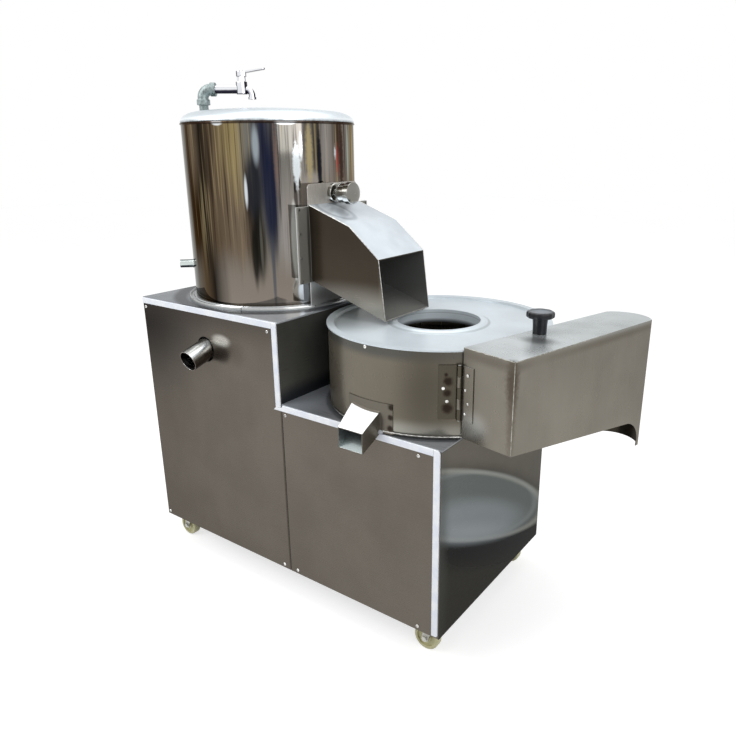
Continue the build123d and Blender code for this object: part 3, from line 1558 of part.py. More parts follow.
# Hinge axis, and the wall of the hood that its leaf lies on
pin_reach = slicer_r + knuckle_r + knuckle_wall_gap
pin_x = slicer_x + pin_reach * cos(radians(pin_angle))
pin_y = slicer_y + pin_reach * sin(radians(pin_angle))
wall_length = sqrt(hood_nose_x**2 + hood_nose_y**2)
wall_turn = atan2(hood_nose_y, hood_nose_x)
wall_way = Vector(cos(wall_turn), sin(wall_turn), 0)
wall_out = Vector(sin(wall_turn), -cos(wall_turn), 0)
pin_at = Vector(pin_x, pin_y, 0)
hood_root = pin_at + wall_way * hood_root_out - wall_out * knuckle_r
hood_nose = pin_at + wall_way * wall_length - wall_out * knuckle_r
knuckle_low = low_top + hinge_low
knuckle_pitch = hinge_height / knuckle_count


def knuckles(first, bore_r):
    """Add every second barrel of the hinge, starting at the one given, with its bore."""
    for number in range(first, knuckle_count, 2):
        with BuildSketch(Plane.XY.offset(knuckle_low + number * knuckle_pitch + knuckle_gap / 2)) as outline:
            with Locations((pin_x, pin_y)):
                Circle(knuckle_r)
        extrude(outline.sketch, amount=knuckle_pitch - knuckle_gap)
    with BuildSketch(Plane.XY.offset(knuckle_low - cut_over)) as outline:
        with Locations((pin_x, pin_y)):
            Circle(bore_r)
    extrude(outline.sketch, amount=hinge_height + 2 * cut_over, mode=Mode.SUBTRACT)


# Drum leaf: a plate curved to the drum, with three barrels
leaf_angle = degrees(drum_leaf_width / slicer_r)
leaf_sector = 2 * slicer_r
with BuildPart() as hinge_leaf_drum:
    with BuildSketch(Plane.XY.offset(knuckle_low)):
        with Locations((slicer_x, slicer_y)):
            Circle(slicer_r + leaf_sheet)
            Circle(slicer_r, mode=Mode.SUBTRACT)
        with BuildLine():
            Polyline(
                (slicer_x, slicer_y),
                (
                    slicer_x + leaf_sector * cos(radians(pin_angle - leaf_angle)),
                    slicer_y + leaf_sector * sin(radians(pin_angle - leaf_angle)),
                ),
                (
                    slicer_x + leaf_sector * cos(radians(pin_angle)),
                    slicer_y + leaf_sector * sin(radians(pin_angle)),
                ),
                close=True,
            )
        make_face(mode=Mode.INTERSECT)
    extrude(amount=hinge_height)
    for number in range(1, knuckle_count, 2):
        with BuildSketch(Plane.XY.offset(knuckle_low + number * knuckle_pitch - knuckle_gap / 2)):
            with Locations((pin_x, pin_y)):
                Circle(knuckle_r + knuckle_gap)
        extrude(amount=knuckle_pitch + knuckle_gap, mode=Mode.SUBTRACT)
    knuckles(0, pin_r)
hinge_leaf_drum.part.label = "hinge_leaf_drum"
export_step(hinge_leaf_drum.part, "parts/hinge_leaf_drum.step")

# Hood leaf: a flat plate on the hood's wall, with two barrels
leaf_plane = Plane(origin=hood_root + Vector(0, 0, knuckle_low), x_dir=wall_way, z_dir=(0, 0, 1))
leaf_start = knuckle_r + knuckle_gap - hood_root_out
with BuildPart() as hinge_leaf_hood:
    with BuildSketch(leaf_plane):
        box_sketch(leaf_start, leaf_width, -leaf_sheet, 0)
    extrude(amount=hinge_height)
    for number in range(1, knuckle_count, 2):
        with BuildSketch(leaf_plane.offset(number * knuckle_pitch + knuckle_gap / 2)):
            box_sketch(-hood_root_out, leaf_start, -leaf_sheet, 0)
        extrude(amount=knuckle_pitch - knuckle_gap)
    knuckles(1, pin_r + run_clearance)
hinge_leaf_hood.part.label = "hinge_leaf_hood"
export_step(hinge_leaf_hood.part, "parts/hinge_leaf_hood.step")

# Hinge pin with a small head at each end
with BuildPart() as hinge_pin:
    with BuildSketch(Plane.XY.offset(knuckle_low)):
        with Locations((pin_x, pin_y)):
            Circle(pin_r)
    extrude(amount=hinge_height)
    for z, rise in [(knuckle_low, -pin_head), (knuckle_low + hinge_height, pin_head)]:
        with BuildSketch(Plane.XY.offset(z)):
            with Locations((pin_x, pin_y)):
                Circle(pin_head_r)
        extrude(amount=rise)
hinge_pin.part.label = "hinge_pin"
export_step(hinge_pin.part, "parts/hinge_pin.step")

# Rivets of both leaves, placed by their shares of a leaf's width and height
with BuildPart() as hinge_rivets_drum:
    for wide, high in drum_rivet_shares:
        turn = pin_angle - leaf_angle * wide
        way = Vector(cos(radians(turn)), sin(radians(turn)), 0)
        middle = Vector(slicer_x, slicer_y, knuckle_low + hinge_height * high)
        with BuildSketch(Plane(origin=middle + way * (slicer_r + leaf_sheet), z_dir=way)):
            Circle(rivet_r)
        extrude(amount=rivet_head)
hinge_rivets_drum.part.label = "hinge_rivets_drum"
export_step(hinge_rivets_drum.part, "parts/hinge_rivets_drum.step")

with BuildPart() as hinge_rivets_hood:
    for wide, high in hood_rivet_shares:
        middle = hood_root + wall_way * (leaf_width * wide) + wall_out * leaf_sheet
        middle = middle + Vector(0, 0, knuckle_low + hinge_height * high)
        with BuildSketch(Plane(origin=middle, z_dir=wall_out)):
            Circle(rivet_r)
        extrude(amount=rivet_head)
hinge_rivets_hood.part.label = "hinge_rivets_hood"
export_step(hinge_rivets_hood.part, "parts/hinge_rivets_hood.step")

# Discharge hood: a folded box, open below and towards the drum, with a curved end wall that hangs lower
hood_top = lid_rim_top + hood_over_lid
hood_low = low_top + hood_low_up
hood_end_z = hood_low - hood_end_drop
knob_at_x = slicer_x + lid_r - hood_knob_in
knob_at_y = slicer_y + hood_knob_y
with BuildPart() as discharge_hood:
    with BuildSketch(Plane.XY.offset(hood_end_z)):
        with BuildLine():
            Polyline(
                (pin_x + hood_tail_x, pin_y + hood_tail_y),
                (hood_root.X, hood_root.Y),
                (hood_nose.X, hood_nose.Y),
                (pin_x + hood_far_x, pin_y + hood_far_y),
            )
            ThreePointArc(
                (pin_x + hood_far_x, pin_y + hood_far_y),
                (pin_x + hood_bulge_x, pin_y + hood_bulge_y),
                (pin_x + hood_tail_x, pin_y + hood_tail_y),
            )
        make_face()
    extrude(amount=hood_top - hood_end_z)
    under_face = discharge_hood.faces().sort_by(Axis.Z)[0]
    drum_side = discharge_hood.faces().filter_by(lambda f: f.normal_at().X < -sqrt(3) / 2)[0]
    offset(amount=-hood_sheet, openings=[under_face, drum_side], kind=Kind.INTERSECTION)
    with BuildSketch(side_plane(pin_x - hood_far_x)):
        with BuildLine():
            Polyline(
                (pin_y + hood_end_y, hood_end_z - cut_over),
                (pin_y - hood_far_y, hood_end_z - cut_over),
                (pin_y - hood_far_y, hood_low),
                (pin_y + hood_nose_y, hood_low),
                (pin_y + hood_sag_y, hood_low - hood_sag_drop),
            )
            ThreePointArc(
                (pin_y + hood_sag_y, hood_low - hood_sag_drop),
                (pin_y + hood_turn_y, hood_low - hood_turn_drop),
                (pin_y + hood_end_y, hood_end_z),
            )
            Line((pin_y + hood_end_y, hood_end_z), (pin_y + hood_end_y, hood_end_z - cut_over))
        make_face()
    extrude(amount=3 * hood_far_x, mode=Mode.SUBTRACT)
    with BuildSketch(Plane.XY.offset(hood_top - hood_sheet - cut_over)):
        with Locations((knob_at_x, knob_at_y)):
            Circle(grip_stud_r)
    extrude(amount=hood_sheet + 2 * cut_over, mode=Mode.SUBTRACT)
discharge_hood.part.label = "discharge_hood"
export_step(discharge_hood.part, "parts/discharge_hood.step")

# Black mushroom knob with its stud, whose end bears on the lid's rim
grip_low = hood_top + fit_gap
grip_neck_z = grip_low + grip_stem
with BuildPart() as hood_knob:
    with BuildSketch(upright_section(knob_at_x, knob_at_y, grip_low)):
        with BuildLine():
            Polyline(
                (0, grip_stem + grip_head),
                (0, 0),
                (grip_stem_r, 0),
                (grip_stem_top_r, grip_stem),
                (grip_head_r - grip_skirt, grip_stem),
                (grip_head_r, grip_stem + grip_skirt),
                (grip_head_r, grip_stem + grip_head - grip_round),
            )
            TangentArc(
                (grip_head_r, grip_stem + grip_head - grip_round),
                (grip_head_r - grip_round, grip_stem + grip_head),
                tangent=(0, 1),
            )
            Line((grip_head_r - grip_round, grip_stem + grip_head), (0, grip_stem + grip_head))
        make_face()
    revolve(axis=Axis((knob_at_x, knob_at_y, 0), (0, 0, 1)))
    with BuildSketch(Plane.XY.offset(grip_low)):
        with Locations((knob_at_x, knob_at_y)):
            Circle(grip_stud_r - run_clearance)
    extrude(amount=lid_rim_top + fit_gap - grip_low)
hood_knob.part.label = "hood_knob"
export_step(hood_knob.part, "parts/hood_knob.step")

# Domed screws: front panels, slicing drum's wall at the lid's skirt, and smaller ones in the chute's flanges
tall_screw_z = tall_top - panel_screw_drop
low_screw_z = low_top - panel_screw_drop
foot_screw_z = cabinet_bottom + panel_screw_foot
front_screws = [
    (cabinet_left + panel_screw_side, tall_screw_z),
    (step_x - panel_screw_step, tall_screw_z),
    (cabinet_left + panel_screw_side, foot_screw_z),
    (step_x - foot_screw_tall, foot_screw_z),
    (step_x + panel_screw_side, low_screw_z),
    (cabinet_right - panel_screw_right, low_screw_z),
    (step_x + foot_screw_low, foot_screw_z),
    (cabinet_right - panel_screw_right, foot_screw_z),
]
screw_seats = [Plane(origin=(x, cabinet_front, z), z_dir=(0, -1, 0)) for x, z in front_screws]
flange_seats = []
chute_screw_pitch = (outlet_high - outlet_low - 2 * chute_screw_margin) / (chute_screw_rows - 1)
chute_screw_out = outlet_half_width + outlet_flange - chute_screw_margin
for side in (-1, 1):
    for row in range(chute_screw_rows):
        seat_z = tall_top + outlet_low + chute_screw_margin + row * chute_screw_pitch
        seat = (chute_x + chute_sheet, outlet_y + side * chute_screw_out, seat_z)
        flange_seats.append(Plane(origin=seat, z_dir=(1, 0, 0)))
lid_screw_z = lid_rim_top - lid_edge - lid_screw_drop
for turn in lid_screw_turns:
    lid_screw_way = Vector(cos(radians(turn)), sin(radians(turn)), 0)
    seat = Vector(slicer_x, slicer_y, lid_screw_z) + lid_screw_way * slicer_r
    screw_seats.append(Plane(origin=seat, z_dir=lid_screw_way))
with BuildPart() as pan_head_screws:
    for seats, radius, height in [
        (screw_seats, screw_r, screw_head),
        (flange_seats, chute_screw_r, chute_screw_head),
    ]:
        for seat in seats:
            with BuildSketch(seat):
                Circle(radius)
            extrude(amount=height - screw_edge)
            with BuildSketch(seat.offset(height - screw_edge)):
                Circle(radius)
            extrude(amount=screw_edge, taper=45)
pan_head_screws.part.label = "pan_head_screws"
export_step(pan_head_screws.part, "parts/pan_head_screws.step")
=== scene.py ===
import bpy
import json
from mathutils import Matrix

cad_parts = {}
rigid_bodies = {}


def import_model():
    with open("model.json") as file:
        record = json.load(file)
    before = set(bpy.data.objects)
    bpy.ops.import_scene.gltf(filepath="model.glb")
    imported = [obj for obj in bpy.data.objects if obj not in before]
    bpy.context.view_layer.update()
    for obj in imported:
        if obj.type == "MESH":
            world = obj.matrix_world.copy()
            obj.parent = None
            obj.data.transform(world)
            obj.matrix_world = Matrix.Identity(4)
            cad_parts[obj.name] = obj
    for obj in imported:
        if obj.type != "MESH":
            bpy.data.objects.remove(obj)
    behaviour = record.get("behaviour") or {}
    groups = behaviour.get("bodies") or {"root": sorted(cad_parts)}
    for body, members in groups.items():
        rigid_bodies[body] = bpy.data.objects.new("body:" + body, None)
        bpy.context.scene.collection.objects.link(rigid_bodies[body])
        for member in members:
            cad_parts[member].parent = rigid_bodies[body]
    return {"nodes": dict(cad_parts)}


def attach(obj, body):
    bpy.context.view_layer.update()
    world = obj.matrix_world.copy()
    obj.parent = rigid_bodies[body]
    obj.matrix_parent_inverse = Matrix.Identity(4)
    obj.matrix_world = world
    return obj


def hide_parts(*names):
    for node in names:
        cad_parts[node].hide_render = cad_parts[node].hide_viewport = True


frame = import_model()

"""Potato peeling and slicing machine: dressed pieces, finishes, studio and camera.

Sizes are in millimetres and turned into metres where a mesh is made. Every piece is
built in the row frame, so that it lies on the CAD node that it stands for.
"""
import json
import logging
from dataclasses import dataclass, field
from enum import Enum
from functools import reduce
from math import cos, pi, radians, sin
from typing import Callable, Sequence

import bmesh
import bpy
from mathutils import Matrix, Vector

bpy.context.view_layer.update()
LOG = logging.getLogger("potato_machine")
MM = 0.001
FULL_TURN = 2 * pi
SAME_POINT = 1e-6  # metres below which two points are one
SHARP = 40.0  # degrees above which a worked edge is sharp, and is eased on a copy
LEFTWARD = Vector((-0.8155, -0.5787, 0.0))  # the photograph's left
SEED = 7
Point = tuple[float, float, float]
Pair = tuple[float, float]
Colour = tuple[float, float, float]
Stops = tuple[tuple[float, Colour], ...]
Socket = bpy.types.NodeSocket
Piece = bpy.types.Object


class Body(Enum):
    """The CAD bodies that pieces ride on."""

    CABINET = "cabinet"
    COVER = "cover"
    TAP_LEVER = "tap_lever"
    GATE = "gate"
    PEELER_ROTOR = "peeler_rotor"
    PEELER_MOTOR = "peeler_motor_rotor"
    SLICER_ROTOR = "slicer_rotor"
    SLICER_MOTOR = "slicer_motor_rotor"
    HOOD = "hood"
    HOOD_KNOB = "hood_knob"
    FORK_FRONT_LEFT = "caster_fork_front_left"
    FORK_FRONT_RIGHT = "caster_fork_front_right"
    FORK_BACK_LEFT = "caster_fork_back_left"
    FORK_BACK_RIGHT = "caster_fork_back_right"
    WHEEL_FRONT_LEFT = "caster_wheel_front_left"
    WHEEL_FRONT_RIGHT = "caster_wheel_front_right"
    WHEEL_BACK_LEFT = "caster_wheel_back_left"
    WHEEL_BACK_RIGHT = "caster_wheel_back_right"


class Slot(Enum):
    """The record's material slots."""

    SATIN = "satin_steel"
    POLISHED = "polished_steel"
    CHROME = "chrome_fittings"
    IRON = "galvanised_iron"
    FASTENER = "bright_fasteners"
    SHAFT = "shaft_steel"
    KNIFE = "knife_steel"
    ZINC = "zinc_plate"
    CASTING = "cast_housing"
    STRIP = "trim_strip"
    NYLON = "wheel_nylon"
    KNOB = "black_knob"
    GLAND = "gland_black"
    BELT = "belt_rubber"
    FRAME = "frame_paint"
    MOTOR = "motor_paint"
    GRIT = "abrasive_grit"


class Grain(Enum):
    """The way a sheet's rolling or brushing marks run, as a stretch for each axis."""

    ALONG_X = (2.0, 90.0, 90.0)
    ALONG_Y = (90.0, 2.0, 90.0)
    ALONG_Z = (90.0, 90.0, 2.0)
    NONE = (30.0, 30.0, 30.0)
    SOFT = (1.5, 1.5, 0.5)


class Axis(Enum):
    """An axis of the row frame, by its number."""

    X = 0
    Y = 1
    Z = 2


# Node trees


class Value:
    """A number socket whose arithmetic adds Math nodes to its tree."""

    def __init__(self, graph: "Graph", socket: Socket) -> None:
        """Keep the graph and the socket."""
        self.graph, self.socket = graph, socket

    def _math(self, operation: str, first: "Value | float", second: "Value | float") -> "Value":
        """Return the result of a Math node."""
        made = self.graph.node("ShaderNodeMath", {"operation": operation}, {0: first, 1: second})
        return Value(self.graph, made.outputs[0])

    def __add__(self, other: "Value | float") -> "Value":
        """Return the sum."""
        return self._math("ADD", self, other)

    __radd__ = __add__

    def __mul__(self, other: "Value | float") -> "Value":
        """Return the product."""
        return self._math("MULTIPLY", self, other)

    def __sub__(self, other: "Value | float") -> "Value":
        """Return the difference."""
        return self._math("SUBTRACT", self, other)

    def __rsub__(self, other: float) -> "Value":
        """Return a number less this value."""
        return self._math("SUBTRACT", other, self)

    def __truediv__(self, other: "Value | float") -> "Value":
        """Return the quotient."""
        return self._math("DIVIDE", self, other)

    def __pow__(self, other: float) -> "Value":
        """Return the power."""
        return self._math("POWER", self, other)

    def apply(self, operation: str, other: "Value | float" = 0.0) -> "Value":
        """Return the result of any other Math operation."""
        return self._math(operation, self, other)

    def between(self, low: float, high: float) -> "Value":
        """Return 0 below low, 1 above high and a smooth rise between them."""
        made = self.graph.node("ShaderNodeMapRange", {"interpolation_type": "SMOOTHSTEP"}, {0: self, 1: low, 2: high})
        return Value(self.graph, made.outputs[0])


class Tree:
    """A node tree, with one method that adds any node."""

    def __init__(self, tree: bpy.types.NodeTree) -> None:
        """Keep the tree."""
        self.tree = tree

    def plug(self, socket: Socket, value: object) -> None:
        """Feed a socket.

        Args:
            socket: The socket.
            value: A value or a socket to link, or what to set on it.
        """
        source = value.socket if isinstance(value, Value) else value
        if isinstance(source, Socket):
            self.tree.links.new(source, socket)
        else:
            socket.default_value = (*source, 1.0) if socket.type == "RGBA" else source

    def node(self, kind: str, settings: dict | None = None, inputs: dict | None = None) -> bpy.types.Node:
        """Add a node.

        Args:
            kind: The node's type.
            settings: Properties that are set first, with a ramp's stops under "stops".
            inputs: Values or links by socket name or number.

        Returns:
            The node.
        """
        made = self.tree.nodes.new(kind)
        for key, value in (settings or {}).items():
            if key == "stops":
                self._stops(made.color_ramp, value)
            else:
                setattr(made, key, value)
        for key, value in (inputs or {}).items():
            self.plug(made.inputs[key], value)
        return made

    @staticmethod
    def _stops(ramp: bpy.types.ColorRamp, stops: Stops) -> None:
        """Set a colour ramp's stops.

        Args:
            ramp: The ramp.
            stops: Place and colour of each stop.
        """
        ramp.elements.remove(ramp.elements[-1])
        for number, (place, colour) in enumerate(stops):
            stop = ramp.elements.new(place) if number else ramp.elements[0]
            stop.position = place
            stop.color = (*colour, 1.0)


class Graph(Tree):
    """The nodes of a material or of the world, with their shader."""

    def __init__(self, owner: bpy.types.Material | bpy.types.World) -> None:
        """Turn on the owner's nodes and find the shader."""
        owner.use_nodes = True
        super().__init__(owner.node_tree)
        self.shader = self.tree.nodes.get("Principled BSDF") or self.tree.nodes["Background"]

    def feed(self, **inputs: object) -> None:
        """Feed the shader's sockets, with spaces in their names as underscores."""
        for key, value in inputs.items():
            self.plug(self.shader.inputs[key.replace("_", " ")], value)

    def place(self, centre: Point = (0.0, 0.0, 0.0), scale: Point = (1.0, 1.0, 1.0)) -> Socket:
        """Measure Object coordinates from a centre and stretch them.

        Args:
            centre: The centre in millimetres.
            scale: The stretch along each axis.

        Returns:
            The coordinates, in metres.
        """
        coords = self.node("ShaderNodeTexCoord").outputs["Object"]
        metres = tuple(part * MM for part in centre)
        shifted = self.node("ShaderNodeVectorMath", {"operation": "SUBTRACT"}, {0: coords, 1: metres}).outputs[0]
        return self.node("ShaderNodeVectorMath", {"operation": "MULTIPLY"}, {0: shifted, 1: scale}).outputs[0]

    def axes(self, centre: Point = (0.0, 0.0, 0.0)) -> list[Value]:
        """Return the three object coordinates, in metres from a centre in millimetres."""
        split = self.node("ShaderNodeSeparateXYZ", None, {0: self.place(centre)})
        return [Value(self, part) for part in split.outputs]

    def way(self, name: str) -> Value:
        """Return how far the surface looks a way, from -1 to 1, from the piece's own attribute."""
        made = self.node("ShaderNodeAttribute", {"attribute_name": name, "attribute_type": "GEOMETRY"})
        return Value(self, made.outputs["Fac"])

    def noise(self, vector: Socket, scale: float, detail: float = 3.0, rough: float = 0.5) -> Value:
        """Return a noise texture's value."""
        sockets = {"Vector": vector, "Scale": scale, "Detail": detail, "Roughness": rough}
        return Value(self, self.node("ShaderNodeTexNoise", None, sockets).outputs[0])

    def cells(self, scale: float) -> Value:
        """Return the distance to the middle of a cell texture's nearest cell."""
        made = self.node("ShaderNodeTexVoronoi", None, {"Vector": self.place(), "Scale": scale})
        return Value(self, made.outputs["Distance"])

    def mix(self, factor: Value, first: Socket | Colour, second: Socket | Colour) -> Socket:
        """Return a blend of two colours."""
        return self.node("ShaderNodeMix", {"data_type": "RGBA"}, {0: factor, 6: first, 7: second}).outputs[2]

    def ramp(self, factor: Value, stops: Stops) -> Socket:
        """Return a colour ramp's colour."""
        return self.node("ShaderNodeValToRGB", {"stops": stops}, {0: factor}).outputs[0]

    def bump(self, height: Value, strength: float, distance: float) -> Socket:
        """Return a bumped normal, with the distance in millimetres."""
        sockets = {"Strength": strength, "Distance": distance * MM, "Height": height}
        return self.node("ShaderNodeBump", None, sockets).outputs[0]


# Finishes


def tint(red: int, green: int, blue: int) -> Colour:
    """Return the linear light of a screen colour given in 0 to 255."""
    return tuple((max(part, 3) / 255 * 0.948 + 0.052) ** 2.4 for part in (red, green, blue))


def bands(*rows: tuple[float, int, int, int]) -> Stops:
    """Return a ramp's stops from rows of a place and a screen colour."""
    return tuple((place, tint(*screen)) for place, *screen in rows)


# Most patches in this script are painted reflections, shadows and highlights; the HEAT ones are heat tint.
@dataclass(frozen=True)
class Patch:
    """A soft-edged patch of a screen tone: an ellipsoid in the row frame, in millimetres.

    With a band above 0 only a shell of that share of the radius is toned. The slant raises the
    patch's middle line by that much for each millimetre along Y.
    """

    centre: Point
    half: Point
    tone: tuple[int, int, int]
    strength: float = 1.0
    soft: float = 0.35
    ragged: float = 0.0
    band: float = 0.0
    slant: float = 0.0

    def over(self, graph: Graph, colour: Socket) -> Socket:
        """Lay the patch over a colour.

        Args:
            graph: The material's nodes.
            colour: The colour beneath.

        Returns:
            The new colour.
        """
        east, north, up = graph.axes(self.centre)
        if self.slant:
            up = up - north * self.slant
        parts = [part / (half * MM) for part, half in zip((east, north, up), self.half)]
        reach = sum((part * part for part in parts), 0.0) ** 0.5
        if self.ragged:
            reach = reach + (graph.noise(graph.place(), 160.0, 3.0, 0.6) - 0.5) * self.ragged
        if self.band:
            reach = (reach - 1.0).apply("ABSOLUTE") / self.band
        mask = 1.0 - reach.between(1.0 - self.soft, 1.0 + self.soft)
        return graph.mix(mask * self.strength, colour, tint(*self.tone))


@dataclass(frozen=True)
class Fade:
    """A painted shading gradient along an axis between two places in metres, and its share of the tone."""

    axis: Axis = Axis.Z
    low: float = 0.0
    high: float = 1.0
    share: float = 0.5


@dataclass(frozen=True)
class Finish:
    """Base of all finishes: a name, the record's slot, patches and a method that feeds the shader."""

    name: str
    slot: Slot
    patches: tuple[Patch, ...] = field(default=(), kw_only=True)

    def material(self) -> bpy.types.Material:
        """Make this finish's material, or find it where it was made before.

        Returns:
            The material.
        """
        title = "finish_" + self.name
        made = bpy.data.materials.get(title)
        if not made:
            made = bpy.data.materials.new(title)
            self.dress(Graph(made))
        return made

    def patched(self, graph: Graph, colour: Socket) -> Socket:
        """Return a colour with the patches laid over it in turn."""
        return reduce(lambda under, patch: patch.over(graph, under), self.patches, colour)

    def dress(self, graph: Graph) -> None:
        """Feed the shader."""
        raise NotImplementedError


@dataclass(frozen=True)
class SheetSteel(Finish):
    """Satin stainless sheet: fine grain, soft blotches, a slow painted shading gradient along one axis, painted light
    by facing, patches.
    """

    bright: Colour
    dark: Colour
    grain: Grain = Grain.ALONG_X
    roughness: float = 0.26
    fade: Fade = Fade()
    # tone of faces that look up: painted light
    top: Colour | None = None
    # tone of faces that look into the piece: painted light where lighter, painted shade where darker
    inside: Colour | None = None
    metal: float = 0.8
    edge_gloss: Colour = (0.35, 0.35, 0.35)

    def dress(self, graph: Graph) -> None:
        """Mix the tones by grain, blotches and the painted shading gradient, tone faces by where they look as painted
        light, then lay the patches.

        Args:
            graph: The material's nodes.
        """
        grain = graph.noise(graph.place(scale=self.grain.value), 14.0, 4.0, 0.6)
        blotch = graph.noise(graph.place(), 5.0, 3.0, 0.55)
        smear = graph.noise(graph.place(scale=(1.0, 1.0, 0.35)), 22.0, 4.0, 0.6)
        # The fade is a painted shading gradient along one axis.
        fade = graph.axes()[self.fade.axis.value].between(self.fade.low, self.fade.high)
        shade = fade * self.fade.share + blotch.between(0.25, 0.75) * (1.0 - self.fade.share)
        shade = shade * 0.8 + (grain - 0.5) * 0.34 + (smear - 0.5) * 0.3 + 0.1
        shade = shade.apply("MAXIMUM", 0.0).apply("MINIMUM", 1.0)
        colour = graph.mix(shade, self.dark, self.bright)
        # Faces that look up get the top tone: painted light.
        if self.top is not None:
            deep = tuple(part * 0.78 for part in self.top)
            cloudy = (blotch * 0.75 + smear * 0.25).between(0.26, 0.66)
            colour = graph.mix(graph.way("upward").between(0.35, 0.7), colour, graph.mix(cloudy, deep, self.top))
        # Faces that look into the piece get the inside tone: painted light where lighter, painted shade where darker.
        if self.inside is not None:
            colour = graph.mix(graph.way("inward").between(0.03, 0.2), colour, self.inside)
        ripple = graph.noise(graph.place(), 3.2, 1.0, 0.3)
        graph.feed(
            Base_Color=self.patched(graph, colour),
            Metallic=self.metal,
            Specular_Tint=self.edge_gloss,
            Roughness=(grain - 0.5) * 0.14 + (blotch - 0.5) * 0.1 + self.roughness,
            Normal=graph.bump(ripple * 1.2 + grain * 0.004, 0.3, 1.0),
        )


@dataclass(frozen=True)
class MirrorDrum(Finish):
    """Mirror-polished drum: painted reflections in upright bands round an axis that change with height.

    Each row is a height as a share of the drum's and a few broad bands of painted reflection from the left
    edge of the front to its right edge; the back repeats them the other way round.
    """

    centre: Point
    height: float
    rows: tuple[tuple[float, Stops], ...]
    first: float = 0.17
    last: float = 0.6
    roughness: float = 0.05
    edge_gloss: Colour = (0.5, 0.48, 0.46)

    def marks(self, graph: Graph, stretch: float, scale: float, detail: float, rough: float) -> Value:
        """Return noise that is drawn out along the drum's height where the stretch is under 1."""
        return graph.noise(graph.place(self.centre, (1.0, 1.0, stretch)), scale, detail, rough)

    def painted_reflections(self, graph: Graph) -> Socket:
        """Mix the rows' bands of painted reflection by height and draw dark, light and very fine painted reflection
        lines over them.

        Args:
            graph: The material's nodes.

        Returns:
            The colour.
        """
        east, north, up = graph.axes(self.centre)
        turn = (north.apply("ARCTAN2", east) / FULL_TURN + (0.5 - self.last)).apply("FRACT")
        seen = self.last - self.first
        place = ((1.0 - turn) / seen).apply("MINIMUM", turn / (1.0 - seen))
        bend = self.marks(graph, 0.5, 5.0, 2.0, 0.5) - 0.5
        fine = self.marks(graph, 0.03, 70.0, 3.0, 0.6) - 0.5
        place = 1.0 - place + bend * 0.028 + fine * 0.022
        rise = up / (self.height * MM)
        level = rise + (self.marks(graph, 0.06, 34.0, 3.0, 0.6) - 0.5) * 0.3
        # The rows' bands are painted reflections of the room round the drum.
        colour, before = graph.ramp(place, self.rows[0][1]), self.rows[0][0]
        for height, stops in self.rows[1:]:
            colour = graph.mix(level.between(before + 0.06, height - 0.04), colour, graph.ramp(place, stops))
            before = height
        # Dark, light and very fine lines, fading out towards the foot, are painted reflections too.
        depth = rise.between(0.08, 0.6)
        streak_reflection_mask = self.marks(graph, 0.025, 105.0, 2.0, 0.6)
        fine_reflection_mask = self.marks(graph, 0.02, 220.0, 2.0, 0.7)
        colour = graph.mix((1.0 - streak_reflection_mask.between(0.32, 0.46)) * depth * 0.72, colour, tint(34, 26, 20))
        colour = graph.mix(streak_reflection_mask.between(0.56, 0.68) * depth * 0.5, colour, tint(164, 148, 112))
        return graph.mix(fine_reflection_mask.between(0.52, 0.74) * depth * 0.6, colour, (0.012, 0.01, 0.01))

    def dress(self, graph: Graph) -> None:
        """Lay the painted reflections and the patches of painted reflection and shadow over a slightly dented mirror.

        Args:
            graph: The material's nodes.
        """
        dent = self.marks(graph, 0.5, 7.0, 2.0, 0.4)
        graph.feed(
            Base_Color=self.patched(graph, self.painted_reflections(graph)),
            Metallic=1.0,
            Specular_Tint=self.edge_gloss,
            Roughness=dent * 0.03 + self.roughness,
            Normal=graph.bump(dent, 0.15, 3.0),
        )


@dataclass(frozen=True)
class Reflex(Finish):
    """Polished round metal, toned from its underside to its top: a painted reflection of floor and sky."""

    stops: Stops
    roughness: float
    painted_side_shade: Colour | None = None

    def dress(self, graph: Graph) -> None:
        """Run the painted reflection tones by how far the surface looks up, shaken a little by noise.

        Args:
            graph: The material's nodes.
        """
        shake = graph.noise(graph.place(), 70.0, 3.0, 0.6) - 0.5
        # The ramp by how far the surface looks up is a painted reflection of floor and sky.
        colour = graph.ramp(graph.way("upward") * 0.5 + 0.5 + shake * 0.12, self.stops)
        # Faces that look to the left or right get a dark tone: a painted dark reflection along the sides.
        if self.painted_side_shade is not None:
            side = graph.way("leftward").apply("ABSOLUTE") + shake * 0.3
            colour = graph.mix(side.between(0.6, 0.76), colour, self.painted_side_shade)
        graph.feed(
            Base_Color=self.patched(graph, colour),
            Metallic=1.0,
            Roughness=(shake + 0.5) * 0.05 + self.roughness,
            Normal=graph.bump(shake, 0.1, 0.4),
        )


@dataclass(frozen=True)
class BrightMetal(Finish):
    """Plated or polished metal with faint cloudiness."""

    colour: Colour
    shade: Colour
    roughness: float
    cloud: float

    def dress(self, graph: Graph) -> None:
        """Mix two close tones by a cloud of noise.

        Args:
            graph: The material's nodes.
        """
        cloud = graph.noise(graph.place(), self.cloud, 3.0, 0.55)
        graph.feed(
            Base_Color=graph.mix(cloud.between(0.3, 0.7), self.shade, self.colour),
            Metallic=1.0,
            Roughness=cloud * 0.06 + self.roughness,
            Normal=graph.bump(cloud, 0.1, 0.3),
        )


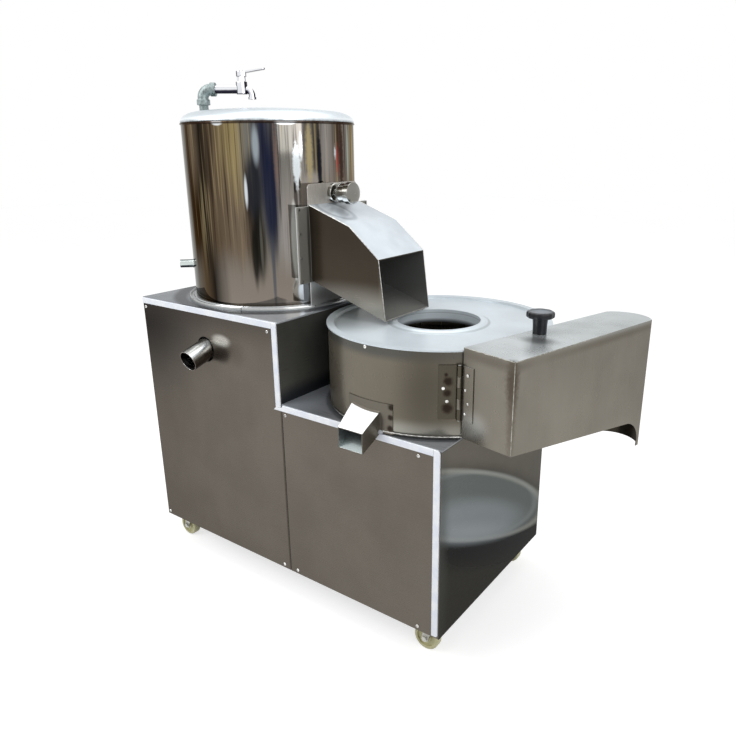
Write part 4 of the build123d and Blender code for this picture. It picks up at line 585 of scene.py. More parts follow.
@dataclass(frozen=True)
class Galvanised(Finish):
    """Zinc-dipped malleable iron: mottled spangle over a rough skin."""

    colour: Colour
    shade: Colour

    def dress(self, graph: Graph) -> None:
        """Mix spangle cells with a fine cast texture, and lighten faces that look up as painted light.

        Args:
            graph: The material's nodes.
        """
        skin = graph.noise(graph.place(), 220.0, 4.0, 0.6)
        patchy = graph.noise(graph.place(), 60.0, 3.0, 0.6).between(0.35, 0.65)
        mask = graph.cells(160.0).between(0.1, 0.6) * 0.25 + skin * 0.25 + patchy * 0.4
        graph.feed(
            # Faces that look up are lighter: painted light.
            Base_Color=graph.mix(mask + graph.way("upward") * 0.3, self.shade, self.colour),
            Metallic=0.7,
            Roughness=skin * 0.25 + 0.35,
            Normal=graph.bump(skin, 0.4, 0.5),
        )


@dataclass(frozen=True)
class Moulded(Finish):
    """Plastic, rubber or paint: one hue with a soft variation and a skin."""

    colour: Colour
    shade: Colour
    roughness: float
    cloud: float
    skin: float = 0.15
    gloss: float = 0.5

    def dress(self, graph: Graph) -> None:
        """Mix two close tones and add a fine skin.

        Args:
            graph: The material's nodes.
        """
        cloud = graph.noise(graph.place(), self.cloud, 4.0, 0.6)
        fine = graph.noise(graph.place(), 500.0, 2.0, 0.5)
        graph.feed(
            Base_Color=self.patched(graph, graph.mix(cloud.between(0.3, 0.7), self.shade, self.colour)),
            Roughness=(cloud - 0.5) * 0.12 + self.roughness,
            Specular_IOR_Level=self.gloss,
            Normal=graph.bump(fine, self.skin, 0.2),
        )


@dataclass(frozen=True)
class Grit(Finish):
    """Bonded abrasive grit in a dark binder."""

    colour: Colour
    shade: Colour

    def dress(self, graph: Graph) -> None:
        """Scatter grains by a cell texture.

        Args:
            graph: The material's nodes.
        """
        grain = graph.cells(420.0)
        graph.feed(
            Base_Color=graph.mix(grain.between(0.1, 0.7), self.colour, self.shade),
            Roughness=0.9 - grain * 0.2,
            Normal=graph.bump(1.0 - grain, 0.9, 1.2),
        )


# Meshes


def round_point(x: float, y: float, radius: float, turn: float) -> Pair:
    """Return the plan point at a radius and turn round an upright axis."""
    return x + radius * cos(turn), y + radius * sin(turn)


def linked(name: str, data: bpy.types.ID) -> Piece:
    """Make an object in the scene.

    Args:
        name: Its name.
        data: Its mesh, or a camera's or lamp's data.

    Returns:
        The object.
    """
    made = bpy.data.objects.new(name, data)
    bpy.context.scene.collection.objects.link(made)
    return made


def meshed(
    name: str, points: Sequence[Point], edges: Sequence[tuple[int, int]] = (), faces: Sequence[tuple[int, ...]] = ()
) -> Piece:
    """Make an object from points in millimetres.

    Args:
        name: Its name.
        points: The points.
        edges: Pairs of numbers of points.
        faces: Rings of numbers of points.

    Returns:
        The object.
    """
    mesh = bpy.data.meshes.new(name)
    mesh.from_pydata([tuple(part * MM for part in point) for point in points], edges, faces)
    return linked(name, mesh)


def tidy_mesh(piece: Piece, smooth: float, merge: float = SAME_POINT, flat: bool = False) -> None:
    """Merge doubles, turn faces outwards and mark sharp edges.

    Args:
        piece: The object whose mesh is changed.
        smooth: Angle in degrees above which an edge is sharp.
        merge: Distance in metres below which points are one.
        flat: Whether to join triangles that lie in one plane.
    """
    bm = bmesh.new()
    bm.from_mesh(piece.data)
    bmesh.ops.remove_doubles(bm, verts=bm.verts, dist=merge)
    bmesh.ops.dissolve_degenerate(bm, dist=1e-7, edges=bm.edges)
    if flat:
        bmesh.ops.dissolve_limit(bm, angle_limit=radians(0.6), verts=bm.verts, edges=bm.edges)
    bmesh.ops.recalc_face_normals(bm, faces=bm.faces)
    for face in bm.faces:
        face.smooth = True
    for edge in bm.edges:
        turn = edge.calc_face_angle(0.0) if edge.is_manifold else pi
        sizes = sorted(face.calc_area() for face in edge.link_faces)
        beside = turn > radians(5.0) and sizes[-1] > 12.0 * sizes[0]
        edge.smooth = turn < radians(smooth) and not beside
    bm.to_mesh(piece.data)
    bm.free()


def skinned(name: str, rings: Sequence[Sequence[Point]], smooth: float = 35.0, looped: bool = False) -> Piece:
    """Skin closed rings of points, one after another.

    Args:
        name: The piece's name.
        rings: The rings in millimetres; one whose points all coincide is a pole.
        smooth: Angle in degrees above which an edge is sharp.
        looped: Whether the last ring joins the first, instead of a cap on each.

    Returns:
        The piece.
    """
    index: dict[Point, int] = {}
    rows = [[index.setdefault(tuple(point), len(index)) for point in ring] for ring in rings]
    faces = [] if looped else [tuple(rows[0]), tuple(rows[-1])]
    for near, far in zip(rows if looped else rows[:-1], rows[1:] + rows[:1]):
        for n, after in enumerate([*range(1, len(near)), 0]):
            corners = tuple(dict.fromkeys((near[n], near[after], far[after], far[n])))
            if len(corners) > 2:
                faces.append(corners)
    made = meshed(name, list(index), (), faces)
    tidy_mesh(made, smooth)
    return made


def box(name: str, low: Point, high: Point) -> Piece:
    """Make a box.

    Args:
        name: Its name.
        low: Its lowest corner in millimetres.
        high: Its highest corner.

    Returns:
        The box.
    """
    (west, south, floor), (east, north, roof) = low, high
    rings = [[(west, south, z), (east, south, z), (east, north, z), (west, north, z)] for z in (floor, roof)]
    return skinned(name, rings)


def turned(
    name: str, profile: Sequence[Pair], centre: Point, steps: int, smooth: float = SHARP,
    wobble: Callable[[float, float], float] = lambda turn, radius: 1.0,
) -> Piece:
    """Turn a profile round an upright axis.

    Args:
        name: The piece's name.
        profile: Closed loop of radius and height in millimetres; a radius of 0 makes a pole.
        centre: The point of the axis from which heights are measured.
        steps: Facets round the axis.
        smooth: Angle in degrees above which an edge is sharp.
        wobble: Radius factor for a turn and a radius.

    Returns:
        The piece.
    """
    x, y, base = centre
    turns = [FULL_TURN * step / steps for step in range(steps)]
    rings = [
        [(*round_point(x, y, radius * wobble(turn, radius), turn), base + height) for turn in turns]
        for radius, height in profile
    ]
    return skinned(name, rings, smooth, looped=True)


def note_ways(piece: Piece) -> None:
    """Write how far each corner of a mesh looks up, to the photograph's left and to the piece's middle.

    Args:
        piece: The piece whose mesh gets the attributes.
    """
    mesh = piece.data
    middle = sum((Vector(corner) for corner in piece.bound_box), Vector()) / 8
    noted: dict[str, list[float]] = {"upward": [], "leftward": [], "inward": []}
    for corner, loop in zip(mesh.corner_normals, mesh.loops):
        way = corner.vector
        noted["upward"].append(way.z)
        noted["leftward"].append(way.dot(LEFTWARD))
        noted["inward"].append(way.dot((middle - mesh.vertices[loop.vertex_index].co).normalized()))
    for name, values in noted.items():
        mesh.attributes.new(name, "FLOAT", "CORNER").data.foreach_set("value", values)


def modify(piece: Piece, kind: str, **settings: object) -> bpy.types.Modifier:
    """Add a modifier.

    Args:
        piece: The piece.
        kind: The modifier's type.
        settings: Its settings.

    Returns:
        The modifier.
    """
    modifier = piece.modifiers.new(kind.lower(), kind)
    for key, value in settings.items():
        setattr(modifier, key, value)
    return modifier


def bake(piece: Piece) -> None:
    """Turn a piece's modifiers into a plain mesh and remove them.

    Args:
        piece: The piece.
    """
    bpy.context.view_layer.update()
    graph = bpy.context.evaluated_depsgraph_get()
    mesh = bpy.data.meshes.new_from_object(piece.evaluated_get(graph), preserve_all_data_layers=True, depsgraph=graph)
    piece.modifiers.clear()
    piece.data = mesh


def cut(piece: Piece, *tools: Piece) -> Piece:
    """Cut solid tools out of a piece and remove the tools.

    Args:
        piece: The piece.
        tools: The tools.

    Returns:
        The piece.
    """
    for tool in tools:
        modify(piece, "BOOLEAN", operation="DIFFERENCE", solver="EXACT", object=tool)
    bake(piece)
    for tool in tools:
        bpy.data.objects.remove(tool)
    return piece


def finished(piece: Piece, body: Body, finish: Finish, *nodes: str) -> None:
    """Dress a piece, put it on its body and let it stand for CAD nodes.

    Args:
        piece: The piece.
        body: The CAD body it rides on.
        finish: Its finish.
        nodes: CAD nodes that it replaces.
    """
    piece.data.materials.clear()
    piece.data.materials.append(finish.material())
    note_ways(piece)
    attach(piece, body.value)
    if nodes:
        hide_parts(*nodes)
    LOG.info("%s on %s: %d faces", piece.name, body.value, len(piece.data.polygons))


def stand_in(
    node: str, name: str, finish: Finish, ease: float = 0.4, body: Body = Body.CABINET, smooth: float = 32.0,
    segments: int = 2,
) -> None:
    """Let a merged copy of a CAD node, with its edges eased, stand for the node.

    Args:
        node: The CAD node's name.
        name: The copy's name.
        finish: Its finish.
        ease: Width of the edge rounding in millimetres, or 0 for none.
        body: The CAD body it rides on.
        smooth: Angle in degrees above which an edge stays sharp.
        segments: Segments of the rounding.
    """
    mesh = frame["nodes"][node].data.copy()
    mesh.name = name
    made = linked(name, mesh)
    tidy_mesh(made, smooth, 2 * SAME_POINT, flat=True)
    if ease:
        modify(made, "BEVEL", width=ease * MM, segments=segments, limit_method="ANGLE", angle_limit=radians(SHARP))
        bake(made)
        tidy_mesh(made, smooth)
    finished(made, body, finish, node)


# Geometry node trees


class Recipe(Tree):
    """A geometry node tree with named inputs, built in the script."""

    def __init__(self, name: str, **inputs: str) -> None:
        """Start a tree.

        Args:
            name: The name of the piece that it makes.
            inputs: Socket type by input name.
        """
        super().__init__(bpy.data.node_groups.new(name + "_recipe", "GeometryNodeTree"))
        self.ids: dict[str, str] = {}
        for key, kind in {"Geometry": "Geometry", **inputs, "Material": "Material"}.items():
            socket = self.tree.interface.new_socket(key, in_out="INPUT", socket_type="NodeSocket" + kind)
            self.ids[key] = socket.identifier
        self.tree.interface.new_socket("Geometry", in_out="OUTPUT", socket_type="NodeSocketGeometry")
        self.given = self.node("NodeGroupInput").outputs
        self.sink = self.node("NodeGroupOutput")

    def maths(self, operation: str, first: Socket, second: Socket | float) -> Socket:
        """Return the result of a Math node."""
        return self.node("ShaderNodeMath", {"operation": operation}, {0: first, 1: second}).outputs[0]

    def spun(self, turn: Socket) -> Socket:
        """Return a rotation by a turn round Z."""
        return self.node("ShaderNodeCombineXYZ", None, {"Z": turn}).outputs[0]

    def repeat(self, points: Socket, thing: str, rotation: Socket) -> Socket:
        """Set the object of a named input on each point.

        Args:
            points: The points.
            thing: The input's name.
            rotation: The turn on each point.

        Returns:
            The instances.
        """
        info = self.node("GeometryNodeObjectInfo", {"transform_space": "ORIGINAL"}, {"Object": self.given[thing]})
        sockets = {"Points": points, "Instance": info.outputs["Geometry"], "Rotation": rotation}
        return self.node("GeometryNodeInstanceOnPoints", None, sockets).outputs[0]

    def run(self, geometry: Socket, carrier: Piece, finish: Finish, **values: object) -> Piece:
        """End the tree and run it.

        Args:
            geometry: What the tree has made.
            carrier: The object whose mesh the tree starts from.
            finish: The finish that it sets.
            values: The named inputs' values; an object among them is a pattern, which is removed.

        Returns:
            The carrier, with the result as its plain mesh.
        """
        real = self.node("GeometryNodeRealizeInstances", None, {0: geometry}).outputs[0]
        shaded = self.node("GeometryNodeSetShadeSmooth", None, {0: real, "Shade Smooth": True}).outputs[0]
        clad = self.node("GeometryNodeSetMaterial", None, {0: shaded, "Material": self.given["Material"]})
        self.plug(self.sink.inputs[0], clad.outputs[0])
        modifier = modify(carrier, "NODES", node_group=self.tree)
        for key, value in {"Material": finish.material(), **values}.items():
            modifier[self.ids[key]] = value
        bake(carrier)
        for pattern in [value for value in values.values() if isinstance(value, Piece)]:
            bpy.data.objects.remove(pattern)
        tidy_mesh(carrier, SHARP)
        return carrier


def headed(name: str, seats: Sequence[tuple[Point, Vector]], finish: Finish, head: Piece) -> Piece:
    """Set one head on each seat, turned to the seat's normal.

    Args:
        name: The piece's name.
        seats: Place in millimetres and outward normal of each seat.
        finish: The heads' finish.
        head: A head that rises along +Z from the origin; it is removed.

    Returns:
        The piece.
    """
    recipe = Recipe(name, Head="Object", Seed="Int")
    normal = recipe.node("GeometryNodeInputNamedAttribute", {"data_type": "FLOAT_VECTOR"}, {"Name": "seat_normal"})
    upright = recipe.node("FunctionNodeAlignRotationToVector", {"axis": "Z"}, {"Vector": normal.outputs["Attribute"]})
    sockets = {"Seed": recipe.given["Seed"], 3: FULL_TURN}
    chance = recipe.node("FunctionNodeRandomValue", {"data_type": "FLOAT"}, sockets).outputs[1]
    sockets = {0: upright.outputs[0], 1: recipe.spun(chance)}
    rotation = recipe.node("FunctionNodeRotateRotation", {"rotation_space": "LOCAL"}, sockets).outputs[0]
    carrier = meshed(name, [place for place, _ in seats])
    attribute = carrier.data.attributes.new("seat_normal", "FLOAT_VECTOR", "POINT")
    for number, (_, way) in enumerate(seats):
        attribute.data[number].vector = way.normalized()
    geometry = recipe.repeat(recipe.given["Geometry"], "Head", rotation)
    return recipe.run(geometry, carrier, finish, Head=head, Seed=SEED)


def swept(name: str, path: Sequence[Point], radius: float, finish: Finish, steps: int, closed: bool = False) -> Piece:
    """Run a round rod along a path.

    Args:
        name: The piece's name.
        path: Points of the path in millimetres.
        radius: Rod radius in millimetres.
        finish: Its finish.
        steps: Facets round the rod.
        closed: Whether the path is a loop.

    Returns:
        The piece.
    """
    recipe = Recipe(name, Radius="Float", Facets="Int")
    curve = recipe.node("GeometryNodeMeshToCurve", None, {0: recipe.given["Geometry"]}).outputs[0]
    sockets = {"Resolution": recipe.given["Facets"], "Radius": recipe.given["Radius"]}
    ring = recipe.node("GeometryNodeCurvePrimitiveCircle", {"mode": "RADIUS"}, sockets).outputs[0]
    skin = recipe.node("GeometryNodeCurveToMesh", None, {0: curve, 1: ring, "Fill Caps": not closed}).outputs[0]
    ends = list(range(1, len(path))) + [0] * closed
    carrier = meshed(name, path, list(enumerate(ends)))
    return recipe.run(skin, carrier, finish, Radius=radius * MM, Facets=steps)


def dome_head(radius: float, height: float, recess: float) -> Piece:
    """Make one domed screw head, rising along +Z from the origin.

    Args:
        radius: Its radius in millimetres.
        height: Its height.
        recess: The width of its cross recess, or 0 for none.

    Returns:
        The head.
    """
    turns = [step / 6 * pi / 2 for step in range(1, 6)]
    dome = [(radius * cos(turn), height * (0.25 + 0.75 * sin(turn))) for turn in turns]
    profile = [(0.0, -0.2), (radius, -0.2), (radius, height * 0.25), *dome, (0.0, height)]
    head = turned("head", profile, (0.0, 0.0, 0.0), 20, 50.0)
    if not recess:
        return head
    arm, half, floor = radius * 0.5, recess / 2, height * 0.45
    arms = [box("arm", (-a, -b, floor), (a, b, 2 * height)) for a, b in ((arm, half), (half, arm))]
    return cut(head, *arms)


# Finishes of this machine

HEAT = (34, 24, 19)
# Front panels: the fade darkens the left end, painted shade. Patches: a dark top-left end and a dark band under the
# top, painted shade; light, dark and mid tones right of the drain pipe, a painted reflection of the pipe; a dark ring
# where the pipe leaves the panel; a dark upright line at the step's edge.
PANEL = SheetSteel(
    "panel_steel", Slot.SATIN, tint(107, 101, 93), tint(90, 84, 77), Grain.ALONG_X, 0.27,
    Fade(Axis.X, -0.55, -0.1, 0.4),
    patches=(
        Patch((-565, -214, 690), (190, 40, 190), (34, 32, 31), 0.95, 0.75),
        Patch((-300, -214, 668), (330, 40, 40), (66, 60, 55), 0.6, 0.9),
        Patch((-272, -214, 604), (27, 6, 13), (186, 183, 176), 0.9, 0.45),
        Patch((-274, -214, 572), (27, 6, 19), (66, 60, 54), 0.85, 0.45),
        Patch((-225, -214, 582), (24, 6, 26), (92, 86, 78), 0.8, 0.6),
        Patch((-328.25, -214, 575.4), (26, 14, 27.5), (14, 14, 15), 1.0, 0.3, band=0.1),
        Patch((-93, -214, 290), (2.6, 6, 260), (40, 30, 24), 0.55, 0.5),
    ),
)
# Side panels: the fade darkens them towards the bottom, painted shade. The first seven patches are a painted reflection
# of a round basin, with a dark area below it and light rims; the last darkens an upright strip by the front edge,
# painted shade.
SIDE = SheetSteel(
    "side_steel", Slot.SATIN, tint(110, 105, 97), tint(90, 88, 82), Grain.ALONG_Y, 0.25,
    Fade(Axis.Z, 0.02, 0.42, 0.4),
    patches=(
        Patch((318, 20, 40), (9, 460, 210), (54, 53, 48), 1.0, 0.25, slant=-0.46),
        Patch((318, -57, 276), (9, 350, 104), (8, 8, 7), 0.95, 0.4, slant=-0.46),
        Patch((318, -57, 302.5), (9, 330, 78.5), (99, 104, 102), 1.0, 0.1, slant=-0.46),
        Patch((318, -57, 302.5), (9, 344, 79), (150, 151, 144), 0.7, 0.95, band=0.06, slant=-0.48),
        Patch((318, -57, 302.5), (9, 292, 79), (158, 164, 163), 0.22, 0.9, band=0.05, slant=-0.43),
        Patch((318, -60, 272), (9, 212, 47), (130, 136, 139), 0.9, 0.45, slant=-0.46),
        Patch((318, -75, 247), (9, 140, 21), (148, 154, 157), 0.6, 0.9, slant=-0.46),
        Patch((318, -216, 270), (9, 24, 190), (72, 74, 70), 0.6, 0.9),
    ),
)
# Riser: the fade darkens it towards the top, and a dark bluish patch at its foot is painted shade.
RISER = SheetSteel(
    "riser_steel", Slot.SATIN, tint(104, 104, 98), tint(52, 52, 50), Grain.ALONG_Y, 0.3,
    Fade(Axis.Z, 0.7, 0.46, 0.7), metal=0.2,
    patches=(Patch((-90.5, -60, 494), (20, 300, 26), (26, 31, 40), 0.9, 0.7),),
)
# Tall top plate: the fade darkens the left end, and a dark ring round the peeling drum's foot is painted shadow.
TOP_PLATE = SheetSteel(
    "top_plate_steel", Slot.SATIN, tint(226, 231, 236), tint(102, 108, 116), Grain.ALONG_X, 0.24,
    Fade(Axis.X, -0.5, -0.12, 0.6), metal=0.5,
    patches=(Patch((-320, 23, 673.5), (238, 238, 9), (42, 45, 52), 0.85, 0.5, band=0.07),),
)
# Low top plate: the fade darkens it next to the riser, painted shade; a light strip by the riser is a painted
# reflection of it; a dark ring round the slicing drum's foot is painted shadow.
LOW_PLATE = SheetSteel(
    "low_plate_steel", Slot.SATIN, tint(150, 153, 156), tint(92, 95, 100), Grain.ALONG_X, 0.3,
    Fade(Axis.X, -0.09, 0.3, 0.7), metal=0.2,
    patches=(
        Patch((-92, -20, 491), (70, 300, 9), (150, 155, 162), 0.85, 0.7),
        Patch((159, 23, 491), (240, 240, 9), (62, 64, 66), 0.7, 0.5, band=0.03),
    ),
)
# Outlet neck: faces that look up get a painted light tone; the back face that the drum mirrors is lightened, painted
# light; a darker patch on the lower front is painted shade.
FLANGE = SheetSteel(
    "flange_steel", Slot.POLISHED, tint(150, 148, 142), tint(122, 119, 112), Grain.ALONG_Z, 0.3,
    top=tint(200, 206, 210), metal=0.3,
    patches=(
        Patch((-119.4, 8, 800), (3, 900, 900), (206, 208, 208), 1.0, 0.12),
        Patch((-113.9, 20, 700), (4, 130, 32), (86, 84, 78), 0.9, 0.3),
    ),
)
# Chute: the fade darkens it towards the top; the roof gets a painted light tone and the inside a lighter painted one.
# Patches: light patches on the side, painted highlights; a ring and a disc on the roof, a painted reflection of the
# gate knob; a light patch in the mouth, painted light; light flange strips, painted light; a dark line at the fold by
# the side, painted shade.
CHUTE = SheetSteel(
    "chute_steel", Slot.SATIN, tint(71, 63, 52), tint(49, 41, 33), Grain.ALONG_X, 0.24,
    Fade(Axis.Z, 0.9, 0.7, 0.5), top=tint(232, 241, 248), inside=tint(122, 124, 121), metal=0.5,
    patches=(
        Patch((20, -76, 690), (150, 6, 36), (148, 146, 138), 0.85, 0.8),
        Patch((88, -76, 730), (10, 6, 90), (138, 132, 120), 0.5, 0.8),
        Patch((-78, -30, 890), (50, 34, 50), (140, 146, 152), 0.5, 0.8, band=0.13),
        Patch((-78, -30, 890), (27, 20, 27), (160, 166, 170), 0.5, 0.9),
        Patch((60, 8, 660), (70, 90, 40), (170, 170, 164), 0.75, 0.8),
        Patch((-113, -100, 816), (4, 30, 90), (146, 144, 136), 1.0, 0.25),
        Patch((-113, 110, 816), (4, 30, 90), (146, 144, 136), 1.0, 0.25),
        Patch((-112, -80, 816), (4, 4.5, 88), (60, 56, 50), 0.8, 0.4),
    ),
)
# Gate: the fade darkens its front side, painted shade; the back face that the drum mirrors is lightened to white,
# painted light.
GATE = SheetSteel(
    "gate_steel", Slot.SATIN, tint(180, 175, 168), tint(164, 158, 150), Grain.ALONG_Z, 0.28,
    Fade(Axis.Y, -0.1, 0.11, 0.4), metal=0.35,
    patches=(Patch((-118.6, 8, 843), (3, 900, 900), (255, 255, 255), 1.0, 0.12),),
)
# Hood: the fade darkens it towards the top, the top gets a painted light tone and the inside a dark painted shade tone.
# Patches: the knob's painted shadow; a light patch low on the front, painted highlight; a darker far part of the top,
# dark patches by the front corner, dark bands under the top's edges and a dark patch near the hinge, painted shade; a
# light patch near the bottom, painted reflection.
HOOD = SheetSteel(
    "hood_steel", Slot.SATIN, tint(138, 133, 123), tint(117, 112, 103), Grain.SOFT, 0.28,
    Fade(Axis.Z, 0.68, 0.4, 0.3), top=tint(240, 246, 248), inside=tint(52, 48, 41),
    patches=(
        Patch((418, -40, 676), (30, 20, 6), (118, 120, 120), 0.75, 0.7),
        Patch((345, -165, 530), (34, 16, 24), (160, 161, 156), 0.8, 0.8),
        Patch((520, 130, 676), (70, 190, 8), (196, 202, 201), 0.3, 0.9),
        Patch((436, -185, 640), (12, 12, 44), (64, 54, 44), 0.8, 0.7, 1.2),
        Patch((437, -185, 580), (8, 8, 90), (84, 76, 66), 0.6, 0.7, 1.0),
        Patch((380, -172, 664), (90, 30, 9), (92, 86, 78), 0.6, 0.8),
        Patch((330, -160, 590), (22, 22, 80), (96, 90, 80), 0.5, 0.9),
        Patch((520, 60, 664), (60, 260, 8), (98, 92, 82), 0.55, 0.8),
        Patch((520, 100, 420), (60, 90, 40), (150, 150, 142), 0.3, 0.9),
    ),
)
# Slicer lid: the fade darkens it to the right; darker patches on the left and front, darker rings at the collar and the
# rim, and a dark lower wall in the hole are painted shade.
LID = SheetSteel(
    "lid_steel", Slot.POLISHED, tint(222, 233, 240), tint(194, 203, 208), Grain.NONE, 0.32,
    Fade(Axis.X, 0.38, -0.08, 0.3), metal=0.25,
    patches=(
        Patch((-25, -20, 664), (62, 128, 14), (128, 133, 130), 0.85, 0.7),
        Patch((40, -60, 664), (60, 70, 14), (158, 164, 165), 0.5, 0.8),
        Patch((159.75, 23, 668), (114, 114, 12), (150, 158, 160), 0.55, 0.6, band=0.05),
        Patch((159.75, 23, 664), (236, 236, 9), (168, 176, 178), 0.6, 0.6, band=0.012),
        Patch((159.75, 23, 638), (100, 100, 15.5), (44, 45, 47), 1.0, 0.15),
    ),
)
# Slicing drum: the fade darkens it to the right, painted shade; the HEAT patch is heat tint; a light bluish patch at
# the left end and a light patch by the foot are painted highlights; dark patches by the top front and on the right are
# painted shade.
CAN = SheetSteel(
    "slicer_steel", Slot.POLISHED, tint(118, 112, 100), tint(98, 92, 81), Grain.SOFT, 0.27,
    Fade(Axis.X, 0.36, 0.1, 0.5), metal=0.6,
    patches=(
        Patch((300.3, -169.1, 610), (7.5, 7.5, 7.5), HEAT, 0.8, 0.5, 0.8),
        Patch((-48, -95, 590), (22, 44, 90), (128, 138, 140), 0.6, 0.6),
        Patch((150, -215, 658), (230, 120, 12), (76, 78, 76), 0.75, 0.8),
        Patch((240, -205, 505), (110, 90, 16), (168, 168, 160), 0.7, 0.8),
        Patch((268, -192, 585), (44, 44, 90), (74, 69, 60), 0.7, 0.9),
    ),
)
LEAF = SheetSteel(
    "leaf_steel", Slot.SATIN, tint(86, 81, 70), tint(70, 65, 56), Grain.ALONG_Z, 0.26,
    patches=(
        Patch((300.3, -169.1, 610), (8.5, 8.5, 8.5), HEAT, 0.9, 0.45, 0.7),
        Patch((299.1, -169.9, 586.5), (7.5, 7.5, 7.5), HEAT, 0.9, 0.45, 0.7),
        Patch((299.6, -169.6, 556.6), (10, 10, 10), HEAT, 0.9, 0.45, 0.7),
        Patch((297, -171, 623), (4, 4, 4), HEAT, 0.9, 0.45, 0.7),
    ),
)
# Spout: the top gets a painted light tone and the inside a lighter painted one; a thin shell at the drum's radius is
# darker; the HEAT patches are heat tint.
SPOUT = SheetSteel(
    "spout_steel", Slot.SATIN, tint(116, 111, 101), tint(88, 83, 74), Grain.ALONG_Y, 0.24,
    top=tint(252, 254, 255), inside=tint(150, 158, 158),
    patches=(
        Patch((159.75, 23, 505), (239.8, 239.8, 1e5), (104, 99, 90), 1.0, 0.2, band=0.012),
        Patch((201.4, -211.3, 549.6), (6.5, 6.5, 6.5), HEAT, 0.9, 0.45, 0.7),
        Patch((200.2, -211.5, 528), (6, 6, 6), HEAT, 0.9, 0.45, 0.7),
        Patch((199, -211.7, 505), (6.5, 6.5, 6.5), HEAT, 0.9, 0.45, 0.7),
    ),
)
SATIN = SheetSteel("satin_steel", Slot.SATIN, tint(172, 168, 162), tint(112, 108, 104), Grain.ALONG_Z, 0.26)
# Base ring: faces that look up get a set tone, painted light.
RING = SheetSteel(
    "ring_steel", Slot.POLISHED, tint(214, 216, 214), tint(130, 132, 134), Grain.NONE, 0.16,
    top=tint(196, 200, 202), metal=0.6,
)
BACK = SheetSteel("back_steel", Slot.SATIN, tint(160, 157, 152), tint(104, 102, 98), Grain.ALONG_X, 0.3)
# Chrome, spool, pipe, nozzle and cover: tones run from underside to top as a painted reflection of floor and sky; the
# chrome's dark side tone is a painted dark reflection.
CHROME = Reflex(
    "chrome", Slot.CHROME,
    bands(
        (0.0, 24, 22, 30), (0.3, 48, 44, 56), (0.38, 120, 116, 126), (0.46, 226, 228, 234), (0.62, 246, 248, 250),
        (0.74, 205, 206, 210), (0.86, 252, 252, 253), (0.97, 190, 190, 196),
    ),
    0.06, tint(40, 36, 46),
)
SPOOL = Reflex(
    "spool_chrome", Slot.CHROME,
    bands(
        (0.0, 24, 24, 24), (0.12, 40, 38, 36), (0.2, 250, 252, 252), (0.3, 238, 240, 240), (0.36, 122, 120, 114),
        (0.6, 132, 131, 126), (0.8, 120, 118, 111), (0.88, 236, 238, 236), (0.96, 60, 58, 54),
    ),
    0.12,
)
PIPE = Reflex(
    "pipe_steel", Slot.POLISHED,
    bands(
        (0.0, 62, 54, 46), (0.35, 84, 76, 68), (0.55, 120, 114, 106), (0.68, 206, 208, 206), (0.82, 226, 232, 234),
        (0.93, 184, 186, 184), (1.0, 120, 118, 112),
    ),
    0.2,
)
NOZZLE = Reflex(
    "nozzle_steel", Slot.POLISHED,
    bands(
        (0.0, 60, 64, 64), (0.16, 84, 88, 88), (0.32, 190, 200, 198), (0.6, 214, 222, 220), (0.84, 196, 204, 202),
        (0.95, 70, 74, 74),
    ),
    0.16,
)
COVER = Reflex(
    "cover_steel", Slot.POLISHED,
    bands(
        (0.0, 70, 74, 74), (0.48, 104, 108, 108), (0.56, 204, 211, 216), (0.68, 238, 244, 248),
        (0.84, 214, 222, 227), (1.0, 194, 203, 208),
    ),
    0.34,
    # A darker patch on the left rim: painted shade.
    patches=(Patch((-505, -40, 1078), (40, 150, 14), (150, 156, 156), 0.6, 0.8),),
)
BEAD = BrightMetal("weld_bead", Slot.SATIN, tint(206, 205, 202), tint(150, 149, 145), 0.3, 240.0)
LINE = BrightMetal("seam_line", Slot.SATIN, tint(176, 176, 168), tint(120, 116, 106), 0.3, 90.0)
PLATED = BrightMetal("plated_fasteners", Slot.FASTENER, tint(236, 236, 234), tint(170, 168, 164), 0.15, 90.0)
DULL = BrightMetal("dull_fasteners", Slot.FASTENER, tint(118, 116, 112), tint(64, 62, 58), 0.3, 90.0)
GROUND = BrightMetal("ground_steel", Slot.SHAFT, tint(160, 160, 158), tint(110, 108, 104), 0.2, 60.0)
ZINC = BrightMetal("zinc_pressing", Slot.ZINC, tint(196, 196, 190), tint(150, 148, 142), 0.3, 70.0)
KNIFE = BrightMetal("knife_steel", Slot.KNIFE, (0.62, 0.62, 0.62), (0.45, 0.45, 0.45), 0.14, 60.0)
ELBOW = Galvanised("galvanised_iron", Slot.IRON, tint(172, 184, 184), tint(76, 88, 86))
GRIT = Grit("abrasive_grit", Slot.GRIT, (0.16, 0.145, 0.13), (0.035, 0.03, 0.028))
SEALANT = Moulded("sealant", Slot.STRIP, tint(176, 181, 187), tint(140, 144, 150), 0.4, 90.0)
STRIP = Moulded("edge_strip", Slot.STRIP, tint(248, 251, 255), tint(232, 238, 250), 0.25, 40.0, 0.1)
NYLON = Moulded("wheel_nylon", Slot.NYLON, tint(206, 203, 164), tint(176, 172, 132), 0.45, 40.0)
BLACK = Moulded(
    "black_knob", Slot.KNOB, tint(24, 25, 30), tint(15, 16, 19), 0.3, 40.0, 0.08, 0.25,
    # A bluish light patch on the knob's top: painted highlight.
    patches=(Patch((397.75, 9, 720.5), (19, 19, 3), (112, 122, 132), 0.8, 0.5),),
)
GLAND = Moulded("gland_black", Slot.GLAND, (0.03, 0.03, 0.03), (0.015, 0.015, 0.015), 0.5, 60.0)
RUBBER = Moulded("belt_rubber", Slot.BELT, (0.03, 0.03, 0.03), (0.012, 0.012, 0.012), 0.7, 80.0, 0.4)
FRAME_PAINT = Moulded("frame_paint", Slot.FRAME, (0.11, 0.12, 0.13), (0.06, 0.065, 0.07), 0.5, 40.0, 0.3)
MOTOR_PAINT = Moulded("motor_paint", Slot.MOTOR, (0.07, 0.12, 0.17), (0.04, 0.075, 0.11), 0.38, 40.0, 0.3)
